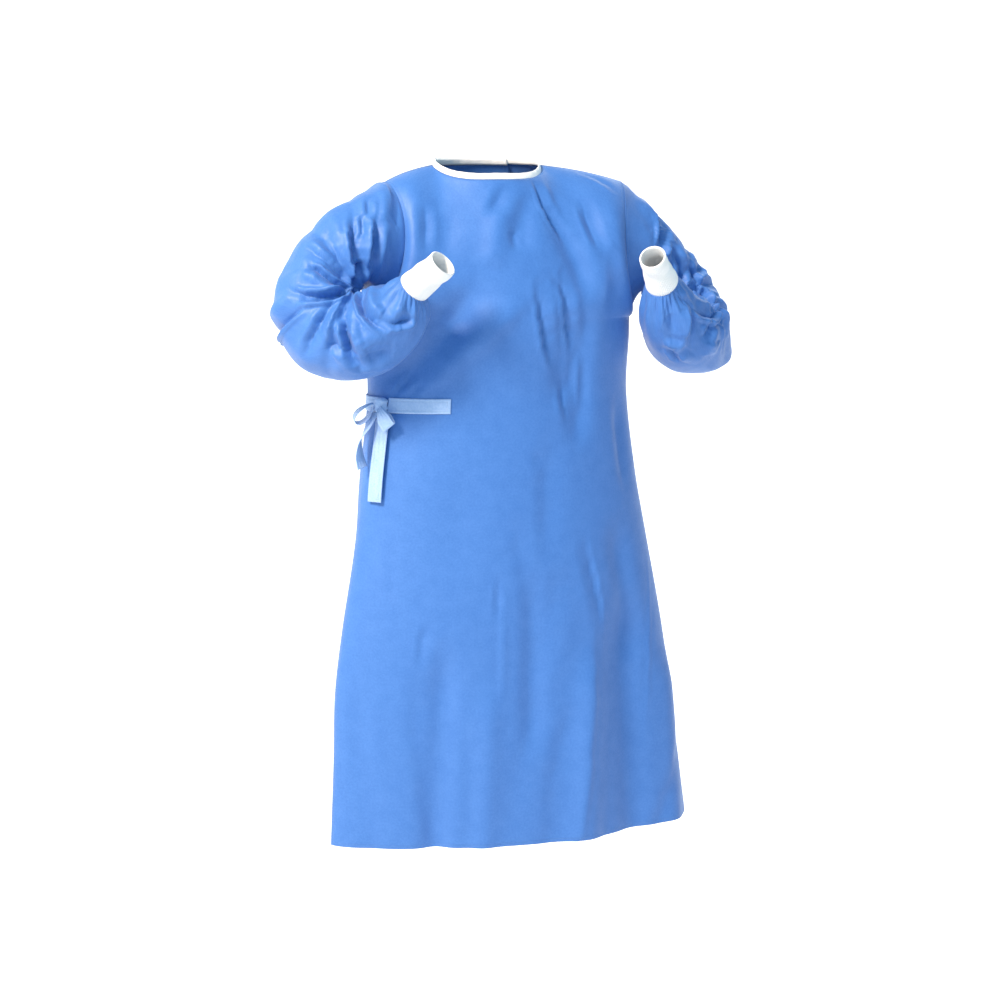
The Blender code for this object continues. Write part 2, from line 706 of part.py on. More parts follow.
def make_binding(name):
    """The knit strip round the neck, one piece whose ends lap at the back."""
    path = binding_stations()

    def place(i, j):
        side, column, inset = path[i]
        edge = neckline_point(side, (2 * column / COLUMNS - 1) / NECK_SHARE)
        normal = neckline_normal(edge)
        away = edge - NECK_CENTRE
        away.z = 0
        rise = (Vector((0, 0, 1)) - away.normalized() * BINDING_LEAN).normalized()
        height = SEAM_GAP / 2 + BINDING_HEIGHT * j / RIBBON_ROWS
        return edge - normal * inset + rise * height, -normal * KNIT_WALL
    return cloth_wall(name, len(path) - 1, RIBBON_ROWS, place, KNIT_WHITE)


def grid_point(side, column, z):
    """The flat facets of the body between its grid points, at a column and a height."""
    level = (z - HEM_Z) / (UNDERARM_Z - HEM_Z)
    low = min(int(column), COLUMNS - 1)
    if level > 1:
        rows = range(LOWER_ROWS, BODY_ROWS)
        j = max(r for r in rows if panel_place(side, low, r)[0].z <= z)
        base, above = panel_place(side, low, j)[0], panel_place(side, low, j + 1)[0]
        up = (z - base.z) / (above.z - base.z)
    else:
        j = min(int(level * LOWER_ROWS), LOWER_ROWS - 1)
        up = level * LOWER_ROWS - j
    part = column - low

    def corner(i, row):
        point, through = panel_place(side, i, row)
        return point, -through.normalized()

    point, normal = Vector(), Vector()
    for i, row, share in ((low, j, (1 - part) * (1 - up)), (low + 1, j, part * (1 - up)),
                          (low, j + 1, (1 - part) * up), (low + 1, j + 1, part * up)):
        at, out = corner(i, row)
        point += at * share
        normal += out * share
    return point, normal.normalized()


def make_strip(name, strip):
    """A flat strip that lies on the body."""
    rows = max(RIBBON_ROWS, round((strip.z_high - strip.z_low) / STRIP_ROW_HEIGHT))

    def place(i, j):
        run = i / strip.cells
        column = strip.first + (strip.last - strip.first) * run
        z = strip.z_low + (strip.z_high - strip.z_low) * j / rows
        point, normal = grid_point(strip.side, column, z)
        lift = strip.lift_first + (strip.lift_last - strip.lift_first) * smooth_step(run)
        return point + normal * (BELT_SEAT + BELT_WALL + lift), -normal * BELT_WALL
    return cloth_wall(name, strip.cells, rows, place, BELT_BLUE)


def make_belt_wrap(name):
    """The belt from the outer back panel's edge round the right side to the knot."""
    back = [(BACK, BELT_WRAP_START)] + [(BACK, c) for c in range(11, 0, -1)]
    path = back + [(FRONT, 0), (FRONT, 1), (FRONT, 2), (FRONT, BELT_WRAP_END)]

    def place(i, j):
        side, column = path[i]
        z = BELT_Z + BELT_WIDTH * (j / RIBBON_ROWS - 0.5)
        point, normal = grid_point(side, column, z)
        lift = BELT_KNOT_LIFT * smooth_step((i - len(path) + 4) / 3)
        return point + normal * (BELT_SEAT + BELT_WALL + lift), -normal * BELT_WALL
    return cloth_wall(name, len(path) - 1, RIBBON_ROWS, place, BELT_BLUE)


def knot_frame():
    """The knot's middle and its side, out and up directions."""
    point, out = grid_point(FRONT, KNOT_COLUMN, BELT_Z)
    out.z = 0
    out.normalize()
    up = Vector((0, 0, 1))
    side = up.cross(out)
    return point + out * (KNOT_SIZE.y / 2 + BELT_SEAT), side, out, up


def knot_space(offset):
    """A point given from the knot's middle, in the gown's own frame."""
    middle, side, out, up = knot_frame()
    return middle + side * offset[0] + out * offset[1] + up * offset[2]


def make_knot(name):
    """The knot of the bow, pulled tight and flattened."""
    middle, side, out, up = knot_frame()
    bm = bmesh.new()
    bmesh.ops.create_uvsphere(bm, u_segments=12, v_segments=8, radius=0.5)
    for vert in bm.verts:
        unit = Vector([math.copysign(abs(2 * c) ** 0.72, c) / 2 for c in vert.co])
        pinch = 1 - 0.18 * math.cos(math.pi * unit.z) ** 2
        vert.co = (middle + side * unit.x * KNOT_SIZE.x * pinch + out * unit.y * KNOT_SIZE.y
                   + up * unit.z * KNOT_SIZE.z)
    return add_object(name, bm, BELT_BLUE)


def make_loop(name, loop):
    """A loop of the bow: a flat ribbon that leaves the knot and comes back to it."""
    start = knot_space(loop.start)
    _, side, out, up = knot_frame()

    def direction(parts):
        return (side * parts[0] + out * parts[1] + up * parts[2]).normalized()

    run = direction(loop.run)
    face = direction(loop.face)
    face = (face - run * face.dot(run)).normalized()
    width = run.cross(face)

    def path(turn):
        angle = 2 * math.pi * turn / LOOP_COLUMNS
        opening = 0.35 + 0.65 * math.sin(angle / 2)
        return (start + run * loop.length * (1 - math.cos(angle)) / 2
                + face * loop.depth * math.sin(angle) * opening)

    def place(i, j):
        turn = i % LOOP_COLUMNS
        along = path(turn + 0.1) - path(turn - 0.1)
        normal = width.cross(along).normalized()
        away = (1 - math.cos(2 * math.pi * turn / LOOP_COLUMNS)) / 2
        spread = BELT_WIDTH * (KNOT_PINCH + (1 - KNOT_PINCH) * smooth_step(1.6 * away))
        point = path(turn) + width * spread * (j / RIBBON_ROWS - 0.5)
        return point, normal * BELT_WALL
    return cloth_wall(name, LOOP_COLUMNS, RIBBON_ROWS, place, BELT_BLUE, closed=True)


def make_short_tail(name):
    """The short end of the bow, which hangs and turns."""
    _, side, out, _ = knot_frame()
    last = SHORT_TAIL.rows[-1][0]

    def path(step):
        row = SHORT_TAIL.at(step)
        return knot_space((row.side, row.out, row.up))

    def place(i, j):
        step = last * i / TAIL_CELLS
        turn = math.radians(SHORT_TAIL.at(step).turn)
        along = (path(step + 0.1) - path(step - 0.1)).normalized()
        width = side * math.cos(turn) + out * math.sin(turn)
        width = (width - along * width.dot(along)).normalized()
        normal = along.cross(width)
        spread = BELT_WIDTH * (KNOT_PINCH + (1 - KNOT_PINCH) * smooth_step(step))
        point = path(step) + width * spread * (j / RIBBON_ROWS - 0.5)
        return point, normal * BELT_WALL
    return cloth_wall(name, TAIL_CELLS, RIBBON_ROWS, place, BELT_BLUE)


def main():
    clear_scene()
    make_panel("front_panel", FRONT, 0, COLUMNS)
    make_panel("back_panel_left", BACK, OUTER_EDGE_COLUMN, COLUMNS)
    make_panel("back_panel_right", BACK, 0, INNER_EDGE_COLUMN, lap_inset)
    for label, hand in (("right", RIGHT), ("left", LEFT)):
        make_sleeve("sleeve_" + label, hand)
        make_cuff("cuff_" + label, hand)
    make_binding("neck_binding")
    for name, strip in STRIPS.items():
        make_strip(name, strip)
    make_belt_wrap("belt_wrap")
    make_knot("belt_knot")
    for name, loop in LOOPS.items():
        make_loop(name, loop)
    make_short_tail("belt_tail_short")


main()
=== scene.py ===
# %% [markdown]
# # A surgical gown, filled out as if worn
#
# This lesson dresses a plain hollow CAD gown with thin creased cloth, rib knit cuffs, a bound
# neck and a tied belt. The CAD model is loaded first and never changed. Each plain wall is then
# replaced by a thin sheet that lies on the same form, because a collision wall of 2 mm looks
# like card, while nonwoven cloth is half a millimetre thick and full of small creases.

import math

import bmesh
import bpy
import numpy as np
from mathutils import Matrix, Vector


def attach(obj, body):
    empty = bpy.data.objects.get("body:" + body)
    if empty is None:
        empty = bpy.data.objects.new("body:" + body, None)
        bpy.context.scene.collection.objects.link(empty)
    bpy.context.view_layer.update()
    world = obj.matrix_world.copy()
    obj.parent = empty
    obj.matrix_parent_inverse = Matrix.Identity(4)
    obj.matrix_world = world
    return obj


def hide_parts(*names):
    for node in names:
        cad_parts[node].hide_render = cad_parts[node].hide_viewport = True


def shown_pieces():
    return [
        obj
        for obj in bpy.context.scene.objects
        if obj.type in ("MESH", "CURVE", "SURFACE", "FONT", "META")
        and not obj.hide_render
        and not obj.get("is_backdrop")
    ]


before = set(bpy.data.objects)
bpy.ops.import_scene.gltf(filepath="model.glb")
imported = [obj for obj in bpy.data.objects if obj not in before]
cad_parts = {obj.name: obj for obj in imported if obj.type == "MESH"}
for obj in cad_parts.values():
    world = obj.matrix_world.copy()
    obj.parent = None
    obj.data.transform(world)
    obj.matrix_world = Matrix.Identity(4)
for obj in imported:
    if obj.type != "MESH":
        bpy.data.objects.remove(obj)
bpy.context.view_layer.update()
print("CAD nodes:", ", ".join(sorted(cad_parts)))

# %% [markdown]
# ## The form of the body
#
# A gown's body is a tube that widens to the hem and closes over the shoulders. It could be
# sculpted, but measured sections are easier to trust: a short table gives the half width and
# the depths at a few heights, and a smooth curve runs between its rows. All of the maths works
# on whole arrays, so a grid of thirty thousand points takes a moment.

# %% Tables that are read smoothly
FRONT, BACK = -1, 1
RIGHT, LEFT = -1, 1


def smooth_step(value):
    value = np.clip(value, 0.0, 1.0)
    return value * value * (3 - 2 * value)


def unit(vectors):
    return vectors / np.maximum(np.linalg.norm(vectors, axis=-1, keepdims=True), 1e-12)


def read_table(rows, keys):
    """Values between the rows of a table. The first column is the key."""
    rows = np.array(rows, float)
    stops, values = rows[:, 0], rows[:, 1:]
    index = np.arange(len(stops))
    below = np.maximum(index - 1, 0)
    above = np.minimum(index + 1, len(stops) - 1)
    slopes = (values[above] - values[below]) / (stops[above] - stops[below])[:, None]
    keys = np.clip(np.asarray(keys, float), stops[0], stops[-1])
    low = np.clip(np.searchsorted(stops, keys, side="right") - 1, 0, len(stops) - 2)
    span = (stops[low + 1] - stops[low])[..., None]
    t = (keys - stops[low])[..., None] / span
    return ((2 * t**3 - 3 * t**2 + 1) * values[low] + (t**3 - 2 * t**2 + t) * slopes[low] * span
            + (3 * t**2 - 2 * t**3) * values[low + 1] + (t**3 - t**2) * slopes[low + 1] * span)


# %% Sections of the body
HEM_Z = -1.227
UNDERARM_Z = -0.275
BODY = (
    # z half_width centre_x centre_y front back corner lean
    (-1.227, 0.352, 0.020, -0.021, 0.122, 0.150, 1.30, 0.22),
    (-1.070, 0.337, 0.013, -0.018, 0.124, 0.148, 1.25, 0.18),
    (-0.950, 0.327, 0.008, -0.015, 0.124, 0.146, 1.20, 0.15),
    (-0.840, 0.311, 0.007, -0.012, 0.126, 0.142, 1.15, 0.12),
    (-0.670, 0.280, 0.005, -0.008, 0.127, 0.134, 1.10, 0.08),
    (-0.560, 0.264, 0.000, -0.004, 0.128, 0.126, 1.00, 0.04),
    (-0.410, 0.246, 0.000, 0.000, 0.130, 0.118, 0.95, 0.00),
    (-0.310, 0.250, 0.000, 0.000, 0.137, 0.122, 0.95, 0.00),
    (-0.275, 0.250, 0.000, 0.000, 0.139, 0.124, 0.95, 0.00),
)


def body_section(side, across, z):
    """Points round the body. across runs from -1 at the right side seam to 1 at the left."""
    across, z = np.broadcast_arrays(np.asarray(across, float), np.asarray(z, float))
    half, middle_x, middle_y, front, back, corner, lean = np.moveaxis(read_table(BODY, z), -1, 0)
    turn = across * math.pi / 2
    depth = front if side == FRONT else back
    bulge = np.maximum(np.cos(turn), 0) ** corner * (1 + lean * np.sin(turn))
    return np.stack([middle_x + half * np.sin(turn), middle_y + side * depth * bulge, z], -1)


print("hem width in mm:", round(2000 * BODY[0][1]))

# %% [markdown]
# ## Neckline, shoulders and armholes
#
# Above the underarm the panel has three edges to meet: the neckline, the shoulder seam and the
# armhole. Each is a curve of its own. The cloth between them is blended from the chest section
# to the top edge along a quarter circle, the way cloth rolls over a shoulder.

# %% Edges of the upper body
NECK_CENTRE = np.array((-0.026, -0.008, 0.001))
NECK_HALF_WIDTH = 0.101
NECK_DEPTH = {FRONT: 0.076, BACK: 0.074}
NECK_DROP = {FRONT: 0.024, BACK: -0.004}
NECK_DIP = 0.003
NECK_SHARE = 14 / 30
SHOULDER_POINT = {RIGHT: np.array((-0.214, -0.006, -0.029)),
                  LEFT: np.array((0.230, -0.006, -0.028))}
SHOULDER_CROWN = 0.004
ARMHOLE_DEPTH = {FRONT: 0.086, BACK: 0.082}
ARMHOLE_INSET = {FRONT: 0.026, BACK: 0.018}
SHOULDER_ARC = math.radians(88)
NECK_ARC = {FRONT: math.radians(52), BACK: math.radians(64)}


def neck_edge(side, turn):
    angle = turn * math.pi / 2
    reach = np.maximum(np.cos(angle), 0)
    dip = NECK_DIP * np.sin(2 * angle) ** 2 if side == FRONT else 0
    return NECK_CENTRE + np.stack([NECK_HALF_WIDTH * np.sin(angle),
                                   side * NECK_DEPTH[side] * reach,
                                   -NECK_DROP[side] * reach**0.8 - dip], -1)


def top_edge(side, across):
    neck = neck_edge(side, np.clip(across / NECK_SHARE, -1, 1))
    run = np.clip((np.abs(across) - NECK_SHARE) / (1 - NECK_SHARE), 0, 1)[..., None]
    shoulder = np.where((across > 0)[..., None], SHOULDER_POINT[LEFT], SHOULDER_POINT[RIGHT])
    edge = neck + (shoulder - neck) * run
    edge[..., 2] += SHOULDER_CROWN * np.sin(math.pi * run[..., 0])
    return edge


def armhole_edge(side, hand, rise):
    """rise is 0 at the underarm and 1 at the shoulder."""
    under = body_section(side, hand, UNDERARM_Z)
    turn = math.pi * np.asarray(rise, float)
    edge = under + (SHOULDER_POINT[hand] - under) / 2 * (1 - np.cos(turn))[..., None]
    edge[..., 1] += side * ARMHOLE_DEPTH[side] * np.sin(turn)
    edge[..., 0] -= hand * ARMHOLE_INSET[side] * np.sin(turn) ** 2
    return edge


def yoke(side, across, rise):
    base = body_section(side, across, UNDERARM_Z + 0 * rise)
    top = top_edge(side, across)
    share = smooth_step(1 - np.abs(across))
    arc = SHOULDER_ARC + (NECK_ARC[side] - SHOULDER_ARC) * share
    inward = ((1 - np.cos(rise * arc)) / (1 - np.cos(arc)))[..., None]
    climb = np.sin(rise * arc) / np.sin(arc)
    point = base + (top - base) * inward
    point[..., 2] = base[..., 2] + (top[..., 2] - base[..., 2]) * climb
    return point


def body_form(side, across, level):
    """The body's surface. level is 0 at the hem, 1 at the underarm and 2 at the top."""
    lower = body_section(side, across, HEM_Z + (UNDERARM_Z - HEM_Z) * np.minimum(level, 1))
    rise = np.clip(level - 1, 0, 1)
    upper = yoke(side, across, rise)
    for hand in (RIGHT, LEFT):
        shift = armhole_edge(side, hand, rise) - yoke(side, hand + 0 * across, rise)
        share = smooth_step((hand * across - 0.2) / 0.8)
        upper = upper + shift * share[..., None]
    return np.where((level <= 1)[..., None], lower, upper)


# %% [markdown]
# ## Folds as soft troughs and ridges
#
# A cloth simulation finds its own folds, but here the folds have to lie where the real ones
# do. So each fold is one row of a table: where it starts, bends and ends, how wide and deep it
# is, and how steep its two sides are. A trough that is steeper on one side catches the light
# like cloth that is about to lap over itself. The distance to the fold's line is measured on
# the surface in space, so a fold keeps its width where a sleeve bends.

# %% One fold after another on a grid of points
FOLD_LIP = 0.6


def outward_normals(points, sign):
    across = np.gradient(points, axis=1)
    up = np.gradient(points, axis=0)
    return sign * unit(np.cross(across, up))


def fold_line(points, normals, keys, scale, fold, samples=15):
    """The fold's line on the cloth, as points and normals, from its three places."""
    t = np.linspace(0, 1, samples)[:, None]
    start, bend, end = np.array(fold[0:2]), np.array(fold[2:4]), np.array(fold[4:6])
    places = (2 * t - 1) * (t - 1) * start + 4 * t * (1 - t) * bend + t * (2 * t - 1) * end
    flat_keys = keys.reshape(-1, 2) / scale
    nearest = [np.argmin(((flat_keys - place / scale) ** 2).sum(1)) for place in places]
    return points.reshape(-1, 3)[nearest], normals.reshape(-1, 3)[nearest]


def press_fold(offset, points, normals, keys, scale, fold):
    """Adds one fold to the offsets. A depth above zero goes into the cloth."""
    width, depth, lean, sharp, start, end = fold[6:12]
    line, facing = fold_line(points, normals, keys, scale, fold)
    low, high = line.min(0) - 3.2 * width, line.max(0) + 3.2 * width
    near = np.all((points > low) & (points < high), axis=-1)
    place, out = points[near], normals[near]
    best = np.full(len(place), 9.0)
    along, beside, same = np.zeros(len(place)), np.zeros(len(place)), np.zeros(len(place))
    for step in range(len(line) - 1):
        run = line[step + 1] - line[step]
        share = np.clip(((place - line[step]) @ run) / max(run @ run, 1e-12), 0, 1)
        gap = place - line[step] - share[:, None] * run
        far = np.linalg.norm(gap, axis=1)
        closer = far < best
        best[closer] = far[closer]
        along[closer] = (step + share[closer]) / (len(line) - 1)
        beside[closer] = (np.cross(run, gap[closer]) * out[closer]).sum(1)
        same[closer] = out[closer] @ facing[step]
    side_width = width * (1 + lean * np.sign(beside))
    t = best / side_width
    profile = (1 - sharp) * np.exp(-t**2) + sharp * np.exp(-1.9 * t)
    profile = profile - FOLD_LIP * sharp * np.exp(-((t - 1.8) / 0.7) ** 2)
    fade = start + (1 - start) * smooth_step(along / 0.4)
    fade = fade * (end + (1 - end) * smooth_step((1 - along) / 0.4))
    offset[near] -= depth * profile * fade * smooth_step(same * 2)


def press_folds(points, normals, keys, scale, folds):
    offset = np.zeros(points.shape[:2])
    for fold in folds:
        press_fold(offset, points, normals, keys, scale, fold)
    return offset


# %% [markdown]
# The deepest folds are in the CAD walls already. They are repeated here by the same rule, so
# that the thin cloth lies on the solid wall, and the finer folds come on top of them.

# %% The CAD wall's own folds
FRONT_DRAPE = (
    # x_top z_top x_low z_low width depth
    (0.030, -0.035, -0.015, -0.160, 0.024, 0.008),
    (-0.030, -0.060, -0.060, -0.190, 0.022, -0.005),
    (0.055, -0.030, 0.135, -0.250, 0.022, 0.010),
    (0.140, -0.055, 0.180, -0.200, 0.022, 0.007),
    (0.070, -0.240, 0.085, -0.440, 0.024, 0.010),
    (0.120, -0.220, 0.110, -0.520, 0.022, 0.011),
    (-0.080, -0.225, -0.245, -0.410, 0.038, 0.018),
    (0.020, -0.700, 0.015, -1.080, 0.022, 0.009),
    (-0.140, -0.820, -0.160, -1.227, 0.026, 0.012),
    (-0.060, -0.900, -0.075, -1.227, 0.024, -0.007),
    (0.185, -0.620, 0.240, -0.920, 0.026, 0.010),
    (0.215, -0.760, 0.235, -1.227, 0.040, 0.022),
    (0.130, -0.860, 0.120, -1.227, 0.030, -0.010),
    (0.310, -0.880, 0.325, -1.227, 0.024, -0.010),
)
BACK_DRAPE = (
    (-0.120, -0.060, -0.090, -0.350, 0.026, 0.009),
    (0.130, -0.070, 0.100, -0.380, 0.024, 0.010),
    (0.010, -0.230, 0.040, -0.640, 0.026, -0.007),
    (0.180, -0.430, 0.215, -1.227, 0.036, 0.019),
    (0.060, -0.540, 0.060, -1.227, 0.030, 0.014),
    (-0.080, -0.500, -0.090, -1.227, 0.034, 0.016),
    (-0.240, -0.580, -0.270, -1.227, 0.028, 0.012),
    (0.290, -0.680, 0.310, -1.227, 0.024, -0.010),
)


def drape_offset(drape, x, z):
    offset = np.zeros_like(x)
    for x_top, z_top, x_low, z_low, width, depth in drape:
        run_x, run_z = x_low - x_top, z_low - z_top
        length = math.hypot(run_x, run_z)
        along = ((x - x_top) * run_x + (z - z_top) * run_z) / length
        beside = ((x - x_top) * run_z - (z - z_top) * run_x) / length
        fade = smooth_step(along / (0.3 * length))
        if z_low > HEM_Z:
            fade = fade * smooth_step((length - along) / (0.3 * length))
        offset -= depth * np.exp(-((beside / width) ** 2)) * fade
    return offset


# %% Finer folds of the front and the back
FRONT_CREASES = (
    # x z at the start, bend and end, then width depth lean sharp start end
    (-0.006, -0.024, -0.034, -0.055, -0.054, -0.100, 0.014, 0.0060, 0.3, 0.2, 0.7, 0.0),
    (0.040, -0.022, 0.054, -0.072, 0.098, -0.150, 0.008, 0.0067, 0.5, 0.90, 0.9, 0.0),
    (0.125, -0.055, 0.139, -0.108, 0.152, -0.160, 0.011, 0.0045, 0.3, 0.60, 0.0, 0.0),
    (0.145, -0.012, 0.175, -0.026, 0.206, -0.046, 0.009, 0.0036, 0.2, 0.70, 0.4, 0.4),
    (-0.012, -0.105, -0.011, -0.128, -0.013, -0.152, 0.007, 0.0027, 0.0, 0.60, 0.0, 0.0),
    (0.024, -0.205, 0.038, -0.290, 0.064, -0.370, 0.010, 0.0072, 0.4, 0.70, 0.2, 0.0),
    (0.072, -0.190, 0.086, -0.268, 0.104, -0.345, 0.009, 0.0072, 0.4, 0.70, 0.2, 0.0),
    (0.078, -0.370, 0.083, -0.420, 0.087, -0.465, 0.009, 0.0045, 0.2, 0.60, 0.0, 0.0),
    (0.054, -0.196, 0.065, -0.206, 0.076, -0.222, 0.006, 0.0023, 0.0, 0.80, 0.0, 0.0),
    (0.016, -0.220, -0.077, -0.304, -0.205, -0.412, 0.026, -0.0080, -0.3, 0.0, 0.2, 0.4),
    (-0.075, -0.185, -0.110, -0.250, -0.160, -0.340, 0.030, 0.0080, 0.2, 0.0, 0.2, 0.2),
    (-0.206, -0.372, -0.214, -0.392, -0.222, -0.410, 0.005, 0.0032, 0.0, 0.80, 0.0, 1.0),
    (-0.190, -0.360, -0.206, -0.388, -0.220, -0.412, 0.005, 0.0036, 0.0, 0.80, 0.0, 1.0),
    (-0.168, -0.378, -0.190, -0.396, -0.214, -0.414, 0.005, 0.0027, 0.0, 0.80, 0.0, 1.0),
    (-0.200, -0.470, -0.214, -0.452, -0.224, -0.436, 0.006, 0.0018, 0.0, 0.4, 0.0, 1.0),
    (0.190, -0.120, 0.158, -0.190, 0.172, -0.330, 0.030, -0.0070, -0.4, 0.0, 0.0, 0.0),
    (0.118, -0.320, 0.114, -0.385, 0.113, -0.455, 0.009, -0.0045, 0.0, 0.50, 0.0, 0.0),
    (-0.170, -0.060, -0.166, -0.105, -0.178, -0.165, 0.014, 0.0060, -0.3, 0.3, 0.0, 0.0),
    (-0.120, -0.080, -0.132, -0.120, -0.150, -0.170, 0.020, 0.0030, 0.0, 0.0, 0.0, 0.0),
    (0.060, -0.440, 0.046, -0.590, 0.050, -0.730, 0.022, 0.0042, 0.2, 0.0, 0.0, 0.0),
    (-0.020, -0.610, -0.002, -0.700, 0.014, -0.810, 0.018, 0.0024, 0.2, 0.1, 0.0, 0.0),
    (-0.100, -0.480, -0.112, -0.620, -0.130, -0.760, 0.034, 0.0027, 0.0, 0.0, 0.0, 0.0),
    (0.112, -0.640, 0.143, -0.755, 0.158, -0.830, 0.010, 0.0048, -0.5, 0.5, 0.0, 0.2),
    (-0.052, -0.725, -0.050, -0.770, -0.048, -0.815, 0.006, 0.0030, 0.4, 0.5, 0.0, 0.0),
    (-0.042, -0.770, -0.040, -0.880, -0.038, -0.980, 0.007, -0.0024, 0.2, 0.3, 0.0, 0.0),
    (-0.172, -0.800, -0.181, -0.850, -0.188, -0.900, 0.009, 0.0033, 0.3, 0.4, 0.0, 0.0),
    (-0.185, -0.870, -0.188, -1.020, -0.164, -1.220, 0.020, 0.0042, 0.2, 0.0, 0.0, 1.0),
    (0.138, -0.790, 0.132, -1.000, 0.106, -1.220, 0.014, -0.0045, -0.5, 0.2, 0.0, 1.0),
    (0.178, -0.720, 0.180, -0.960, 0.172, -1.225, 0.034, 0.0066, 0.3, 0.0, 0.0, 1.0),
    (0.275, -0.680, 0.272, -0.880, 0.262, -1.100, 0.005, -0.0015, 0.0, 0.3, 0.0, 0.0),
    (0.345, -1.040, 0.322, -1.130, 0.290, -1.220, 0.018, 0.0036, 0.2, 0.1, 0.0, 1.0),
    (-0.232, -0.690, -0.229, -0.730, -0.226, -0.775, 0.008, 0.0015, 0.0, 0.2, 0.0, 0.0),
    (0.070, -0.700, 0.048, -0.820, 0.030, -0.950, 0.020, 0.0033, 0.2, 0.0, 0.0, 0.0),
    (0.056, -0.930, 0.004, -1.050, -0.020, -1.180, 0.022, 0.0027, 0.0, 0.0, 0.0, 0.4),
    (0.104, -0.960, 0.066, -1.070, 0.052, -1.220, 0.020, 0.0033, 0.2, 0.0, 0.0, 1.0),
    (-0.270, -0.860, -0.284, -1.030, -0.270, -1.225, 0.022, 0.0030, 0.0, 0.0, 0.0, 1.0),
    (-0.120, -0.980, -0.096, -1.090, -0.104, -1.225, 0.018, 0.0024, 0.2, 0.0, 0.0, 1.0),
    (0.020, -0.500, 0.030, -0.516, 0.040, -0.540, 0.008, 0.0015, 0.0, 0.2, 0.0, 0.0),
    (0.200, -0.400, 0.206, -0.500, 0.226, -0.620, 0.018, 0.0060, 0.3, 0.1, 0.0, 0.0),
)
BACK_CREASES = (
    (-0.150, -0.050, -0.140, -0.120, -0.120, -0.210, 0.014, 0.0060, 0.3, 0.3, 0.3, 0.0),
    (0.155, -0.052, 0.150, -0.130, 0.120, -0.230, 0.013, 0.0065, -0.3, 0.3, 0.3, 0.0),
    (-0.190, -0.200, -0.150, -0.260, -0.120, -0.340, 0.016, 0.0050, 0.2, 0.2, 0.0, 0.0),
    (0.205, -0.190, 0.165, -0.270, 0.140, -0.360, 0.016, 0.0055, 0.2, 0.2, 0.0, 0.0),
    (0.070, -0.130, 0.060, -0.220, 0.066, -0.330, 0.012, 0.0045, 0.2, 0.2, 0.0, 0.0),
    (-0.060, -0.200, -0.070, -0.300, -0.060, -0.410, 0.014, 0.0045, 0.0, 0.2, 0.0, 0.0),
    (0.130, -0.430, 0.150, -0.560, 0.140, -0.700, 0.014, 0.0070, 0.3, 0.3, 0.0, 0.0),
    (-0.160, -0.440, -0.150, -0.560, -0.165, -0.700, 0.013, 0.0070, -0.3, 0.3, 0.0, 0.0),
    (0.230, -0.470, 0.240, -0.600, 0.262, -0.760, 0.014, 0.0060, 0.3, 0.2, 0.0, 0.0),
    (-0.020, -0.620, -0.010, -0.800, -0.030, -1.000, 0.020, 0.0060, 0.2, 0.1, 0.0, 0.0),
    (0.115, -0.800, 0.120, -1.000, 0.125, -1.225, 0.018, -0.0070, 0.3, 0.2, 0.0, 1.0),
    (-0.160, -0.850, -0.175, -1.040, -0.190, -1.225, 0.020, -0.0065, -0.3, 0.1, 0.0, 1.0),
    (0.250, -0.820, 0.262, -1.020, 0.270, -1.225, 0.018, 0.0070, 0.2, 0.2, 0.0, 1.0),
    (0.010, -0.900, 0.000, -1.060, 0.010, -1.225, 0.016, 0.0060, 0.0, 0.2, 0.0, 1.0),
    (-0.230, -0.760, -0.225, -0.930, -0.235, -1.120, 0.014, 0.0050, 0.2, 0.2, 0.0, 0.0),
    (-0.300, -0.900, -0.310, -1.050, -0.320, -1.225, 0.018, 0.0050, 0.0, 0.1, 0.0, 1.0),
)
print("hand-placed creases:", len(FRONT_CREASES), "in front and", len(BACK_CREASES), "behind")

# %% [markdown]
# ## From a grid of points to a sheet
#
# Every sheet starts as Blender's own flat grid, whose points are then carried to their places.
# Two maps go along: one holds the flat cut in metres, for the bonded pattern and the fibres,
# and the other how far a point is from the nearest sewn edge and how far along that edge it
# lies, for the stitches. A Solidify modifier gives the sheet its real thickness inwards.

# %% A sheet of cloth
CLOTH_THICKNESS = 0.0006


def stops_between(count, length, edges=(0.0015, 0.004)):
    """Even places from 0 to 1, with a few more beside each end where the seams turn in."""
    inner = [edge / length for edge in edges]
    return np.unique(np.concatenate([np.linspace(0, 1, count + 1), inner,
                                     [1 - place for place in inner]]))


def run_lengths(points, axis):
    steps = np.linalg.norm(np.diff(points, axis=axis), axis=-1)
    pad = [(0, 0), (0, 0)]
    pad[axis] = (1, 0)
    return np.cumsum(np.pad(steps, pad), axis=axis)


def flat_cut(points):
    """Each point's place on the flat cut, in metres."""
    u, v = run_lengths(points, 1), run_lengths(points, 0)
    middle = points.shape[1] // 2
    return u - u[:, middle:middle + 1], v


def seam_map(points, low=True, high=True, first=True, last=True):
    """Distance to the nearest sewn edge and the run along it."""
    u, v = run_lengths(points, 1), run_lengths(points, 0)
    edges = [(first, u, v), (last, u[:, -1:] - u, v), (low, v, u), (high, v[-1:] - v, u)]
    far = np.full(u.shape, 1.0)
    run = np.zeros(u.shape)
    for sewn, distance, length in edges:
        closer = (distance < far) & sewn
        far = np.where(closer, distance, far)
        run = np.where(closer, length, run)
    return far, run


def make_mesh_piece(name, bm, finish, smooth=True):
    mesh = bpy.data.meshes.new(name)
    bm.to_mesh(mesh)
    bm.free()
    mesh.materials.append(finish)
    if smooth:
        mesh.shade_smooth()
    piece = bpy.data.objects.new(name, mesh)
    bpy.context.scene.collection.objects.link(piece)
    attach(piece, "root")
    return piece


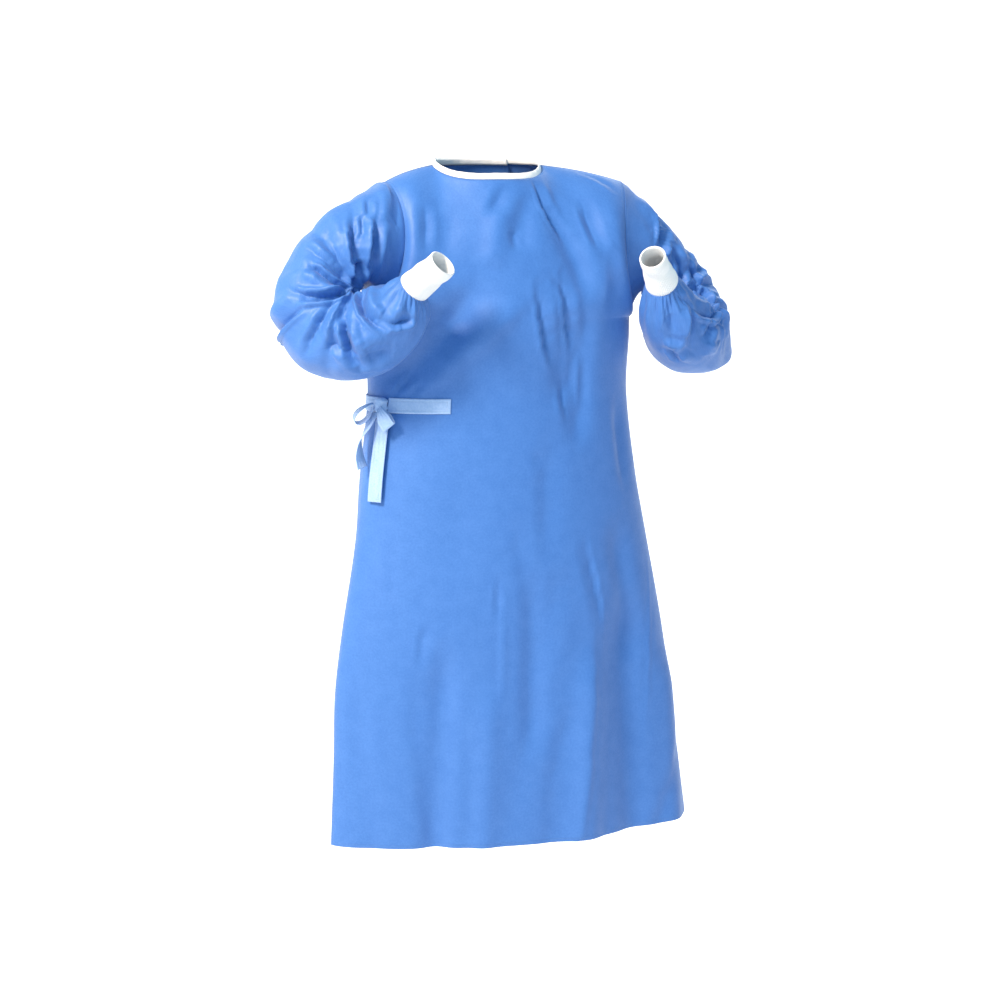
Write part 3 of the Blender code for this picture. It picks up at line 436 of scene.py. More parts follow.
def lay_sheet(name, points, seams, finish, thickness, closed=False, flip=False):
    """A sheet through a grid of points, thickened inwards."""
    rows, columns = points.shape[0] - 1, points.shape[1] - 1
    flat = flat_cut(points)
    bm = bmesh.new()
    flat_map = bm.loops.layers.uv.new("flat")
    stitch_map = bm.loops.layers.uv.new("seam")
    bmesh.ops.create_grid(bm, x_segments=columns, y_segments=rows, size=0.5)
    place = {vert: (round((vert.co.y + 0.5) * rows), round((vert.co.x + 0.5) * columns))
             for vert in bm.verts}
    for face in bm.faces:
        for loop in face.loops:
            at = place[loop.vert]
            loop[flat_map].uv = (flat[0][at], flat[1][at])
            loop[stitch_map].uv = (seams[0][at], seams[1][at])
    for vert, at in place.items():
        vert.co = points[at]
    if closed:
        bmesh.ops.remove_doubles(bm, verts=bm.verts[:], dist=1e-6)
    if flip:
        bmesh.ops.reverse_faces(bm, faces=bm.faces[:])
    area = sum(face.calc_area() for face in bm.faces)
    piece = make_mesh_piece(name, bm, finish)
    wall = piece.modifiers.new("thickness", "SOLIDIFY")
    wall.thickness = thickness
    wall.offset = -1
    wall.use_even_offset = False
    print(f"{name}: {area:.3f} square metres, {2 * rows * columns} triangles a side")
    return piece, area


# %% [markdown]
# ## A small kit for wiring materials
#
# Materials are graphs of nodes. Adding nodes one by one takes many lines, so a small class
# keeps the graph and has a method for each kind of step. A number that is the same all over a
# surface is set on the shader itself and never wired in.

# %% Wiring helpers
class Finish:
    """A material being wired. Each method adds a node and gives its output."""

    def __init__(self, name, **values):
        self.material = bpy.data.materials.new(name)
        self.material.use_nodes = True
        self.tree = self.material.node_tree
        self.shader = self.tree.nodes["Principled BSDF"]
        for key, value in values.items():
            self.shader.inputs[key.replace("_", " ")].default_value = value

    def add(self, kind, inputs, output=0, **settings):
        node = self.tree.nodes.new("ShaderNode" + kind)
        for key, value in settings.items():
            setattr(node, key, value)
        for key, value in inputs.items():
            if isinstance(value, bpy.types.NodeSocket):
                self.tree.links.new(value, node.inputs[key])
            else:
                node.inputs[key].default_value = value
        return node.outputs[output]

    def map(self, name):
        return self.add("UVMap", {}, uv_map=name)

    def turned(self, vector, angle=0.0, scale=(1, 1, 1)):
        return self.add("Mapping", {"Vector": vector, "Rotation": (0, 0, angle), "Scale": scale})

    def noise(self, vector, scale, detail=3.0, rough=0.5, twist=0.0, kind="FBM"):
        return self.add("TexNoise", {"Vector": vector, "Scale": scale, "Detail": detail,
                                     "Roughness": rough, "Distortion": twist}, noise_type=kind)

    def cells(self, vector, scale, spread):
        return self.add("TexVoronoi", {"Vector": vector, "Scale": scale, "Randomness": spread})

    def maths(self, how, a, b=0.0):
        return self.add("Math", {0: a, 1: b}, operation=how)

    def fit(self, value, low, high, to_low=0.0, to_high=1.0):
        return self.add("MapRange", {"Value": value, "From Min": low, "From Max": high,
                                     "To Min": to_low, "To Max": to_high},
                        interpolation_type="SMOOTHSTEP")

    def blend(self, share, a, b):
        colours = {"Factor": share, 6: a, 7: b}
        return self.add("Mix", colours, output=2, data_type="RGBA")

    def bump(self, height, distance, strength=1.0, normal=None):
        inputs = {"Height": height, "Distance": distance, "Strength": strength}
        if normal is not None:
            inputs["Normal"] = normal
        return self.add("Bump", inputs)

    def wire(self, output, socket):
        self.tree.links.new(output, self.shader.inputs[socket])


def stitch_height(finish, seam, distance, pitch=0.0032, thread=0.00045):
    """1 on the stitches of one line that runs at a distance from the sewn edge."""
    parts = finish.tree.nodes.new("ShaderNodeSeparateXYZ")
    finish.tree.links.new(seam, parts.inputs[0])
    away = finish.maths("ABSOLUTE", finish.maths("SUBTRACT", parts.outputs[0], distance))
    line = finish.fit(away, thread * 0.5, thread * 1.4, 1.0, 0.0)
    step = finish.maths("FRACT", finish.maths("DIVIDE", parts.outputs[1], pitch))
    middle = finish.maths("ABSOLUTE", finish.maths("SUBTRACT", step, 0.5))
    dash = finish.fit(middle, 0.30, 0.42, 1.0, 0.0)
    return finish.maths("MULTIPLY", line, dash), finish.fit(away, 0.0, thread * 5, 1.0, 0.0)


# %% [markdown]
# ## The nonwoven cloth
#
# The gown is layered spunbond and meltblown cloth: endless fibres, laid at random and welded
# together in small dots. It has no weave. What shows is a fine pattern of welded dots, a
# cloudy density where fibres lie thicker or thinner, papery creases, and a broad soft shine
# that turns pale towards the light while the shaded cloth stays a deep blue. A dark, strong
# base colour with a wide specular lobe and some sheen does that better than a pale base.

# %% The nonwoven finish
def nonwoven(name, deep, pale, gloss):
    finish = Finish(name, Sheen_Weight=0.10, Sheen_Roughness=0.55, Sheen_Tint=(1.0, 0.92, 0.84, 1),
                    Specular_IOR_Level=0.45, IOR=1.5, Coat_Weight=gloss, Coat_Roughness=0.50,
                    Coat_IOR=1.5)
    flat, seam = finish.map("flat"), finish.map("seam")
    clouds = finish.noise(flat, 38, 5, 0.62)
    fibre_clouds = finish.noise(flat, 260, 3, 0.6)
    density = finish.maths("ADD", finish.maths("MULTIPLY", clouds, 0.45),
                           finish.maths("MULTIPLY", fibre_clouds, 0.55))
    dots = finish.fit(finish.cells(finish.turned(flat, 0.62), 430, 0.10), 0.10, 0.34, 1.0, 0.0)
    fibres = finish.noise(finish.turned(flat, 0.3, (1, 3.5, 1)), 900, 2, 0.5, 1.2)
    threads, valley = stitch_height(finish, seam, 0.0055)
    colour = finish.blend(finish.fit(density, 0.30, 0.70), deep, pale)
    colour = finish.blend(finish.maths("MULTIPLY", dots, 0.25), colour, deep)
    colour = finish.blend(finish.maths("MULTIPLY", threads, 0.45), colour, pale)
    finish.wire(colour, "Base Color")
    finish.wire(finish.fit(density, 0.3, 0.7, 0.60, 0.48), "Roughness")
    papery = finish.noise(flat, 14, 3, 0.5, 0.6, "RIDGED_MULTIFRACTAL")
    crumple = finish.noise(flat, 48, 4, 0.55, 0.3)
    surface = finish.bump(papery, 0.0016, 0.30)
    surface = finish.bump(crumple, 0.0016, 0.35, surface)
    surface = finish.bump(fibres, 0.00012, 0.5, surface)
    surface = finish.bump(dots, -0.00016, 0.8, surface)
    surface = finish.bump(valley, -0.0005, 0.6, surface)
    surface = finish.bump(threads, 0.0005, 0.9, surface)
    finish.wire(surface, "Normal")
    return finish.material


gown_cloth = nonwoven("gown_nonwoven", (0.030, 0.142, 0.460, 1), (0.048, 0.176, 0.520, 1), 0.2)
print("cloth finish:", gown_cloth.name, len(gown_cloth.node_tree.nodes), "nodes")

# %% [markdown]
# ## Front and back panels
#
# The front is one piece of cloth from side seam to side seam. The back is two pieces that lap
# over each other down the middle, the left one outside. Each is laid on the body's form with
# its folds pressed in, and its folds fade out at the sewn edges so that neighbours still meet.

# %% Lay the panels
COLUMNS = 30
LAP_INSET = 0.0034
SEAM_TURN_IN = 0.0004
SEAM_TURN_WIDTH = 0.003
LOWER_ROWS = 118
UPPER_ROWS = 92
EASE_PASSES = 40
BELT_Z = -0.421
HEM_TURN = 0.014
HEM_GAP = 0.0012


def body_grid(first, last, columns, lower_rows, upper_rows):
    """across and level for a grid of the body between two of its thirty columns."""
    width = 0.62 * (last - first) / COLUMNS
    across = -1 + 2 * (first + (last - first) * stops_between(columns, width)) / COLUMNS
    lower = np.linspace(0, 1, lower_rows + 1)[:-1]
    upper = 1 + np.linspace(0, 1, upper_rows + 1)
    level = np.concatenate([lower[:1], [0.0016, 0.0042], lower[1:], upper[:-1],
                            [1.988, 1.996], upper[-1:]])
    return np.meshgrid(across, level)


def sewn_fade(across, level):
    beside = (1 - np.abs(across)) * COLUMNS / 2 / 3
    below_top = (2 - level) * 14 / 3
    return smooth_step(beside) * smooth_step(below_top)


def lap_inset(across, level):
    """How far the inner back panel lies under the outer one."""
    column = (across + 1) * COLUMNS / 2
    start = 5 + 3 * smooth_step((level - 1.4) / 0.6)
    return LAP_INSET * smooth_step((column - start) / (9 - start))


def seam_turn(seams):
    return -SEAM_TURN_IN * np.exp(-((seams[0] / SEAM_TURN_WIDTH) ** 2))


def ease_columns(base, level):
    """Averages beside each point, so that the neck's corner leaves no line down the chest."""
    share = 0.5 * smooth_step((level[:, 1:-1, None] - 1.0) / 0.3)
    share = share * smooth_step((1.99 - level[:, 1:-1, None]) / 0.12)
    for _ in range(EASE_PASSES):
        beside = (base[:, :-2] + base[:, 2:]) / 2
        base[:, 1:-1] += (beside - base[:, 1:-1]) * share
    return base


def panel_surface(side, across, level, inner=False):
    """Where the outside of a body panel lies, with all of its folds."""
    base = ease_columns(body_form(side, across, level), level)
    normals = outward_normals(base, -side)
    x, z = base[..., 0], base[..., 2]
    drape, creases = ((FRONT_DRAPE, FRONT_CREASES) if side == FRONT
                      else (BACK_DRAPE, BACK_CREASES))
    offset = drape_offset(drape, x, z)
    keys = np.stack([x, z], -1)
    folds = press_folds(base, normals, keys, np.array((1.0, 1.0)), creases)
    under_belt = np.exp(-(((z - BELT_Z) / 0.024) ** 4)) * smooth_step((0.04 - x) / 0.05)
    if side == FRONT:
        folds = folds * (1 - under_belt)
    offset = (offset + folds) * sewn_fade(across, level)
    if inner:
        offset = offset - lap_inset(across, level)
    return base, normals, offset


def make_panel(name, side, first, last, columns, inner=False):
    across, level = body_grid(first, last, columns, LOWER_ROWS, UPPER_ROWS)
    base, normals, offset = panel_surface(side, across, level, inner)
    seams = seam_map(base)
    points = base + normals * (offset + seam_turn(seams))[..., None]
    piece, area = lay_sheet(name, points, seams, gown_cloth, CLOTH_THICKNESS,
                            flip=side == BACK)
    hem_rows = int(np.searchsorted(level[:, 0], HEM_TURN / (UNDERARM_Z - HEM_Z))) + 1
    inside = points[:hem_rows] - normals[:hem_rows] * HEM_GAP
    return piece, area, inside[:, 2:-2]


front_cloth, front_area, front_inside = make_panel("front_cloth", FRONT, 0, COLUMNS, 150)
back_outer_cloth, back_outer_area, outer_inside = make_panel("back_outer_cloth", BACK, 10,
                                                             COLUMNS, 100)
back_inner_cloth, back_inner_area, inner_inside = make_panel("back_inner_cloth", BACK, 0, 18,
                                                             90, True)
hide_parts("front_panel")
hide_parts("back_panel_left")
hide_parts("back_panel_right")

# %% [markdown]
# ## Sleeves
#
# A set-in sleeve is a tapering tube. These are bent hard at the elbow, so the cloth bunches
# into one point on the inside of the bend and folds fan out from there. The form is a row of
# rings: each has an outer edge from a table and an inner edge that slides past the elbow's
# pit. Rings that share the pit give the fan for free.

# %% Rings of the sleeves
SLEEVES = {
    RIGHT: {
        "pit": np.array((-0.300, -0.117, -0.207)),
        "towards_armhole": np.array((0.62, 0.70, -0.20)),
        "towards_cuff": np.array((0.74, -0.60, 0.30)),
        "cuff_axis": unit(np.array((0.55, -0.58, 0.60))),
        "cuff_length": 0.070,
        "cuff_mouth": 0.90,
        "rings": (
            # ring x y z slide across
            (1.0, -0.232, 0.010, -0.036, -0.070, 0.084),
            (2.0, -0.268, 0.016, -0.068, -0.030, 0.084),
            (3.0, -0.312, 0.016, -0.116, -0.004, 0.082),
            (4.0, -0.360, 0.006, -0.170, 0.0, 0.080),
            (5.0, -0.402, -0.012, -0.228, 0.0, 0.080),
            (6.0, -0.415, -0.032, -0.288, 0.0, 0.080),
            (7.0, -0.388, -0.058, -0.344, 0.0, 0.080),
            (8.0, -0.330, -0.092, -0.372, 0.002, 0.080),
            (9.0, -0.272, -0.126, -0.366, 0.012, 0.076),
            (10.0, -0.224, -0.160, -0.328, 0.032, 0.067),
            (11.0, -0.200, -0.188, -0.272, 0.058, 0.053),
            (12.0, -0.206, -0.206, -0.224, 0.086, 0.033),
        ),
    },
    LEFT: {
        "pit": np.array((0.332, -0.058, -0.232)),
        "towards_armhole": np.array((-0.72, 0.55, 0.10)),
        "towards_cuff": np.array((-0.60, -0.58, 0.52)),
        "cuff_axis": unit(np.array((-0.50, -0.60, 0.62))),
        "cuff_length": 0.076,
        "cuff_mouth": 0.80,
        "rings": (
            (1.0, 0.251, 0.012, -0.038, -0.070, 0.084),
            (2.0, 0.274, 0.020, -0.072, -0.030, 0.080),
            (3.0, 0.304, 0.034, -0.124, -0.004, 0.074),
            (4.0, 0.342, 0.048, -0.186, 0.0, 0.073),
            (5.0, 0.392, 0.054, -0.254, 0.0, 0.076),
            (6.0, 0.436, 0.044, -0.320, 0.0, 0.082),
            (7.0, 0.442, 0.014, -0.366, 0.0, 0.086),
            (8.0, 0.402, -0.026, -0.388, 0.002, 0.084),
            (9.0, 0.350, -0.070, -0.382, 0.012, 0.077),
            (10.0, 0.302, -0.110, -0.346, 0.032, 0.064),
            (11.0, 0.266, -0.144, -0.288, 0.062, 0.048),
            (12.0, 0.250, -0.162, -0.226, 0.092, 0.029),
        ),
    },
}
LAST_RING = 12.0
PIT_RADIUS = 0.011


def ring_edges(hand, rings):
    sleeve = SLEEVES[hand]
    row = read_table(sleeve["rings"], rings)
    outer, slide, across = row[..., :3], row[..., 3:4], row[..., 4]
    toward = np.where(slide > 0, unit(sleeve["towards_cuff"]), unit(sleeve["towards_armhole"]))
    inner = sleeve["pit"] + toward * np.abs(slide)
    return outer, inner + unit(outer - inner) * PIT_RADIUS, across


def ring_frames(hand, rings):
    """The middle of each ring, its half width to the outer edge, and the one to the front."""
    axis = SLEEVES[hand]["cuff_axis"]
    outer, inner, across = ring_edges(hand, rings)
    outer_a, inner_a, _ = ring_edges(hand, np.maximum(rings - 0.3, 1.0))
    outer_b, inner_b, _ = ring_edges(hand, np.minimum(rings + 0.3, LAST_RING))
    along = unit((outer_b + inner_b) - (outer_a + inner_a))
    settle = smooth_step((rings - (LAST_RING - 2)) / 2)[..., None]
    along = along + (axis - along) * settle
    radial = (outer - inner) / 2
    length = np.linalg.norm(radial, axis=-1, keepdims=True)
    flat = radial - axis * (radial @ axis)[..., None] * settle
    radial = unit(flat) * length
    front = unit(np.cross(along, radial)) * across[..., None] * hand
    return (outer + inner) / 2, radial, front


def armhole_ring(hand, angle):
    """The armhole at an angle, counted from the shoulder down the front and up the back."""
    front = armhole_edge(FRONT, hand, np.clip(1 - angle / math.pi, 0, 1))
    back = armhole_edge(BACK, hand, np.clip(angle / math.pi - 1, 0, 1))
    return np.where((angle <= math.pi)[..., None], front, back)


def plain_sleeve(hand, rings, angles):
    """A sleeve's surface from its rings alone. Ring 0 is the armhole."""
    middle, radial, front = ring_frames(hand, np.maximum(rings, 1.0))
    point = middle + radial * np.cos(angles)[..., None] + front * np.sin(angles)[..., None]
    near = np.clip(rings, 0, 1)
    share = (smooth_step(near) * 0.5 + 0.5 * near)[..., None]
    edge = armhole_ring(hand, np.mod(angles, 2 * math.pi))
    return edge + (point - edge) * share


# %% [markdown]
# Rings that fan out from one point pass through each other on the inside of the bend. Real
# cloth would slide away until it no longer meets itself. Averaging each point with its
# neighbours a few times does the same, and only there, so the outer edge keeps its place. It is
# done on a coarse grid, and a smooth curve through its points gives the fine one.

# %% Relax the inside of the bend
SLEEVE_COLUMNS = 28
SLEEVE_ROWS = 24
HEAD_ROWS = 3
RELAX_PASSES = {RIGHT: 7, LEFT: 22}
RELAX_REACH = {RIGHT: 10, LEFT: 12}


def relaxed_sleeve(hand):
    """The sleeve's coarse grid, rows of columns, after its inside has given way."""
    row, column = np.arange(SLEEVE_ROWS + 1), np.arange(SLEEVE_COLUMNS)
    run = 1 + (LAST_RING - 1) * (row - HEAD_ROWS) / (SLEEVE_ROWS - HEAD_ROWS)
    stops = np.where(row <= HEAD_ROWS, row / HEAD_ROWS, run)
    angles, rings = np.meshgrid(2 * math.pi * column / SLEEVE_COLUMNS, stops)
    grid = plain_sleeve(hand, rings, angles)
    beside = np.clip((RELAX_REACH[hand] - np.abs(column - SLEEVE_COLUMNS / 2)) / 3, 0, 1)
    along = np.clip(np.minimum(row, 19 - row) / 2, 0, 1)
    share = 0.5 * (along[:, None] * beside[None, :])[..., None]
    for _ in range(RELAX_PASSES[hand]):
        mean = (np.roll(grid, 1, 1) + np.roll(grid, -1, 1)) / 4
        mean[1:-1] += (grid[2:] + grid[:-2]) / 4
        mean[[0, -1]] = grid[[0, -1]]
        grid = grid + (mean - grid) * share
    return stops, grid


def sleeve_form(hand, rings, angles):
    """A sleeve's surface on the fine grid, from one row of ring keys and one of angles."""
    stops, grid = relaxed_sleeve(hand)
    table = np.column_stack([stops, grid.reshape(len(stops), -1)])
    rows = read_table(table, rings).reshape(len(rings), SLEEVE_COLUMNS, 3)
    turns = np.arange(-3, SLEEVE_COLUMNS + 4)
    wrapped = rows[:, turns % SLEEVE_COLUMNS].transpose(1, 0, 2).reshape(len(turns), -1)
    places = np.mod(angles, 2 * math.pi) * SLEEVE_COLUMNS / (2 * math.pi)
    fine = read_table(np.column_stack([turns, wrapped]), places)
    fine = fine.reshape(len(angles), len(rings), 3).transpose(1, 0, 2)
    edge = armhole_ring(hand, np.mod(angles, 2 * math.pi))
    return fine + (edge - fine[0]) * (1 - smooth_step(rings / 0.8))[:, None, None]


# %% Folds of the sleeves
SLEEVE_DRAPE = (
    # ring  angle  ring_width  angle_width  depth
    (2.2, 60, 0.45, 50, 0.005),
    (3.4, 75, 0.42, 55, 0.006),
    (4.6, 70, 0.42, 60, 0.005),
    (5.6, 80, 0.42, 60, 0.007),
    (6.7, 70, 0.42, 55, 0.005),
    (7.8, 60, 0.45, 60, 0.006),
    (9.0, 40, 0.45, 55, 0.005),
    (10.2, 60, 0.42, 50, 0.003),
    (2.8, 300, 0.45, 50, 0.004),
    (4.2, 290, 0.42, 55, 0.005),
    (5.5, 285, 0.42, 60, 0.006),
    (7.0, 290, 0.42, 55, 0.005),
    (8.5, 300, 0.45, 50, 0.004),
    (9.8, 310, 0.42, 50, 0.003),
    (6.2, 0, 0.45, 40, 0.004),
    (8.4, 350, 0.45, 40, 0.004),
)
HIDDEN_SLEEVE_CREASES = (
    # ring and angle at the start, bend and end, then width depth lean sharp start end
    (1.4, 210, 1.5, 250, 1.4, 290, 0.009, 0.0059, 0.3, 0.35, 0.2, 0.0),
    (2.4, 200, 2.3, 235, 2.2, 275, 0.009, 0.0067, -0.3, 0.35, 0.6, 0.0),
    (3.6, 195, 3.5, 230, 3.3, 280, 0.009, 0.0067, 0.3, 0.35, 0.6, 0.0),
    (4.9, 200, 4.8, 240, 4.9, 300, 0.008, 0.0059, -0.3, 0.45, 0.6, 0.0),
    (6.3, 205, 6.4, 245, 6.2, 310, 0.009, 0.0067, 0.4, 0.35, 0.6, 0.0),
    (7.6, 200, 7.7, 240, 7.9, 290, 0.009, 0.0067, 0.3, 0.35, 0.6, 0.0),
    (9.0, 205, 9.2, 240, 9.4, 285, 0.008, 0.0059, 0.3, 0.45, 0.4, 0.0),
    (10.2, 215, 10.5, 250, 10.8, 300, 0.008, 0.0042, 0.3, 0.35, 0.2, 0.0),
    (5.3, 20, 5.6, 345, 5.4, 315, 0.010, 0.0042, 0.2, 0.25, 0.0, 0.0),
    (7.3, 15, 7.5, 340, 7.2, 320, 0.010, 0.0042, 0.2, 0.25, 0.0, 0.0),
)
SLEEVE_CREASES = {
    RIGHT: (
        (2.25, 80, 2.4, 122, 2.55, 158, 0.010, 0.0162, 0.4, 0.65, 0.0, 0.7),
        (1.92, 78, 2.0, 100, 2.05, 126, 0.007, 0.0095, 0.3, 0.65, 0.0, 0.0),
        (1.48, 82, 1.62, 122, 1.62, 160, 0.008, 0.0128, 0.4, 0.65, 0.0, 0.3),
        (1.95, 142, 2.4, 160, 2.9, 177, 0.010, 0.0175, 0.2, 0.75, 0.0, 1.0),
        (5.85, 172, 5.0, 135, 4.6, 100, 0.007, 0.0135, 0.4, 0.85, 1.0, 0.0),
        (6.50, 160, 5.95, 115, 5.35, 70, 0.006, 0.0115, 0.3, 0.75, 0.8, 0.0),
        (6.95, 155, 6.2, 118, 5.75, 74, 0.007, 0.0121, -0.3, 0.75, 0.8, 0.0),
        (6.25, 8, 6.2, 55, 6.25, 108, 0.012, 0.0162, 0.6, 0.85, 0.7, 0.0),
        (7.05, 128, 7.1, 90, 7.2, 46, 0.011, 0.0121, 0.3, 0.55, 0.2, 0.0),
        (7.30, 150, 7.5, 115, 7.7, 78, 0.007, -0.0081, 0.0, 0.65, 0.4, 0.0),
        (8.20, 128, 8.5, 95, 8.75, 60, 0.011, 0.0175, 0.4, 0.75, 0.2, 0.2),
        (8.75, 130, 8.9, 90, 9.15, 42, 0.008, -0.0095, 0.0, 0.65, 0.2, 0.2),
        (9.00, 160, 9.5, 122, 10.25, 80, 0.008, 0.0162, 0.5, 0.85, 0.7, 0.2),
        (7.60, 66, 8.2, 82, 8.95, 50, 0.013, 0.0121, 0.3, 0.65, 0.0, 0.3),
        (9.10, 66, 9.6, 55, 10.15, 42, 0.018, 0.0135, 0.0, 0.35, 0.2, 0.2),
        (10.3, 96, 10.85, 62, 11.4, 34, 0.009, 0.0115, 0.4, 0.75, 0.2, 0.0),
        (0.75, 92, 0.45, 68, 0.25, 40, 0.013, 0.0095, 0.2, 0.55, 0.0, 0.4),
        (1.72, 56, 1.8, 72, 1.82, 88, 0.006, 0.0061, 0.2, 0.75, 0.0, 0.0),
        (3.45, 158, 3.2, 112, 3.0, 56, 0.013, 0.0074, 0.2, 0.45, 0.6, 0.0),
        (4.20, 165, 4.1, 122, 3.95, 64, 0.011, 0.0095, 0.3, 0.55, 0.6, 0.0),
    ),
    LEFT: (
        (2.00, 58, 1.78, 82, 1.52, 104, 0.010, 0.0149, 0.5, 0.85, 0.2, 0.2),
        (2.10, 98, 1.95, 110, 1.80, 122, 0.007, -0.0081, 0.0, 0.75, 0.0, 0.0),
        (1.30, 30, 1.65, 55, 2.00, 70, 0.020, -0.0081, 0.2, 0.35, 0.0, 0.0),
        (2.25, 112, 2.7, 134, 3.15, 156, 0.008, 0.0108, 0.3, 0.75, 0.2, 0.6),
        (3.10, 122, 4.2, 138, 5.50, 152, 0.008, 0.0108, -0.3, 0.75, 0.2, 0.6),
        (11.2, 74, 8.8, 114, 6.15, 142, 0.009, 0.0162, 0.4, 0.85, 0.2, 0.8),
        (10.7, 84, 8.8, 112, 6.80, 142, 0.009, -0.0095, 0.2, 0.65, 0.2, 0.2),
        (7.05, 150, 7.1, 118, 7.00, 70, 0.010, 0.0135, 0.4, 0.75, 0.6, 0.0),
        (8.95, 88, 8.2, 104, 7.50, 116, 0.011, 0.0108, 0.3, 0.65, 0.0, 0.0),
        (11.2, 62, 10.8, 50, 10.25, 18, 0.012, -0.0135, -0.4, 0.75, 0.4, 0.2),
        (10.3, 28, 10.4, 8, 10.60, -16, 0.010, -0.0081, 0.3, 0.65, 0.4, 0.0),
        (9.95, 30, 9.95, 15, 9.90, 0, 0.020, -0.0081, 0.0, 0.25, 0.0, 0.0),
        (9.40, 72, 9.3, 58, 9.20, 44, 0.020, -0.0081, 0.0, 0.25, 0.0, 0.0),
        (10.35, -8, 10.0, -2, 9.70, 4, 0.007, 0.0068, 0.2, 0.75, 0.0, 0.0),
        (4.20, 150, 4.2, 112, 4.10, 60, 0.011, 0.0108, 0.3, 0.65, 0.5, 0.0),
        (5.20, 155, 5.3, 118, 5.20, 64, 0.010, 0.0108, -0.3, 0.65, 0.5, 0.0),
        (6.00, 155, 6.2, 110, 6.10, 52, 0.011, 0.0095, 0.3, 0.65, 0.5, 0.0),
        (8.00, 140, 8.2, 96, 8.30, 40, 0.011, 0.0121, 0.3, 0.65, 0.3, 0.0),
        (9.70, 100, 9.8, 80, 10.10, 50, 0.009, 0.0081, 0.3, 0.75, 0.0, 0.0),
    ),
}
GATHERS = 9
GATHER_DEPTH = 0.0025


def sleeve_drape(rings, degrees):
    offset = np.zeros_like(rings)
    for at_ring, at_angle, ring_width, angle_width, depth in SLEEVE_DRAPE:
        apart = np.mod(degrees - at_angle + 180, 360) - 180
        offset -= depth * np.exp(-(((rings - at_ring) / ring_width) ** 2)
                                 - (apart / angle_width) ** 2)
    towards_cuff = smooth_step((rings - LAST_RING + 2.2) / 1.4)
    towards_cuff = towards_cuff * smooth_step((LAST_RING - rings) / 0.5)
    return offset + GATHER_DEPTH * np.cos(GATHERS * np.radians(degrees)) * towards_cuff


def fine_gathers(rings, degrees):
    """Small uneven puckers where the sleeve is eased on to the cuff."""
    turn = np.radians(degrees)
    waves = np.cos(26 * turn + 1.6 * np.sin(3 * turn)) + 0.6 * np.cos(17 * turn + 1.0)
    uneven = 0.6 + 0.4 * np.sin(2 * turn + 0.7)
    reach = smooth_step((rings - LAST_RING + 1.1) / 0.9) * smooth_step((LAST_RING - rings) / 0.12)
    return 0.0013 * waves * uneven * reach


# %% Lay the sleeves
def make_sleeve(name, hand):
    head = np.linspace(0, 1, 17)[:-1]
    body = np.linspace(1, LAST_RING - 1.2, 150)[:-1]
    wrist = np.linspace(LAST_RING - 1.2, LAST_RING, 26)
    rings = np.concatenate([head[:1], [0.02, 0.045], head[1:], body, wrist])
    degrees = 180 + 360 * np.linspace(0, 1, 209)
    base = sleeve_form(hand, rings, np.radians(degrees))
    degrees, rings = np.meshgrid(degrees, rings)
    normals = outward_normals(base, hand)
    keys = np.stack([rings, np.mod(degrees + 90, 360) - 90], -1)
    creases = SLEEVE_CREASES[hand] + tuple(
        (a, (b + 90) % 360 - 90, c, (d + 90) % 360 - 90, e, (f + 90) % 360 - 90, *rest)
        for a, b, c, d, e, f, *rest in HIDDEN_SLEEVE_CREASES)
    offset = press_folds(base, normals, keys, np.array((1.0, 40.0)), creases)
    offset = offset + sleeve_drape(rings, degrees)
    offset = offset * smooth_step(rings / 1.2) * smooth_step((LAST_RING - rings) / 0.5)
    offset = offset + fine_gathers(rings, degrees)
    seams = seam_map(base)
    points = base + normals * (offset + seam_turn(seams))[..., None]
    points[:, -1] = points[:, 0]
    piece, area = lay_sheet(name, points, seams, gown_cloth, CLOTH_THICKNESS,
                            closed=True, flip=hand == LEFT)
    return piece, area


sleeve_right_cloth, sleeve_right_area = make_sleeve("sleeve_right_cloth", RIGHT)
sleeve_left_cloth, sleeve_left_area = make_sleeve("sleeve_left_cloth", LEFT)
QUARTERS = ("upper_front", "upper_back", "lower_front", "lower_back")
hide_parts(*("sleeve_right_" + quarter for quarter in QUARTERS))
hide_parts(*("sleeve_left_" + quarter for quarter in QUARTERS))

# %% [markdown]
# ## Rib knit
#
# Cuffs and neck binding are white rib knit. Ribs are columns of stitches, so on the cuffs they are
# real ridges in the mesh, and the small stitches along each rib are in the material, where a map
# in metres gives them their true size of about a millimetre.

# %% The knit finish
def rib_knit(name):
    finish = Finish(name, Roughness=0.85, Sheen_Weight=0.35, Sheen_Roughness=0.5,
                    Specular_IOR_Level=0.25)
    flat = finish.map("flat")
    stitches = finish.add("TexWave", {"Vector": finish.turned(flat, 0, (1, 1, 1)), "Scale": 210.0,
                                      "Distortion": 1.2, "Detail": 2.0, "Detail Scale": 1.4},
                          output=1, wave_type="BANDS", bands_direction="Y")
    columns = finish.add("TexWave", {"Vector": flat, "Scale": 210.0, "Distortion": 0.6,
                                     "Detail": 1.0}, output=1,
                         wave_type="BANDS", bands_direction="X")
    loops = finish.maths("MULTIPLY", stitches, columns)
    soil = finish.noise(flat, 34, 4, 0.6)
    lint = finish.noise(flat, 700, 2, 0.6)
    colour = finish.blend(finish.fit(soil, 0.3, 0.75), (0.92, 0.92, 0.92, 1),
                          (0.86, 0.855, 0.845, 1))
    # The grey between the stitch loops is painted shade in the hollows of the knit.
    colour = finish.blend(finish.maths("MULTIPLY", finish.fit(loops, 0.0, 0.4, 1, 0), 0.22),
                          colour, (0.62, 0.62, 0.64, 1))
    finish.wire(colour, "Base Color")
    surface = finish.bump(loops, 0.00035, 0.6)
    surface = finish.bump(lint, 0.0002, 0.4, surface)
    surface = finish.bump(soil, 0.0012, 0.3, surface)
    finish.wire(surface, "Normal")
    return finish.material


knit_white = rib_knit("rib_knit_white")

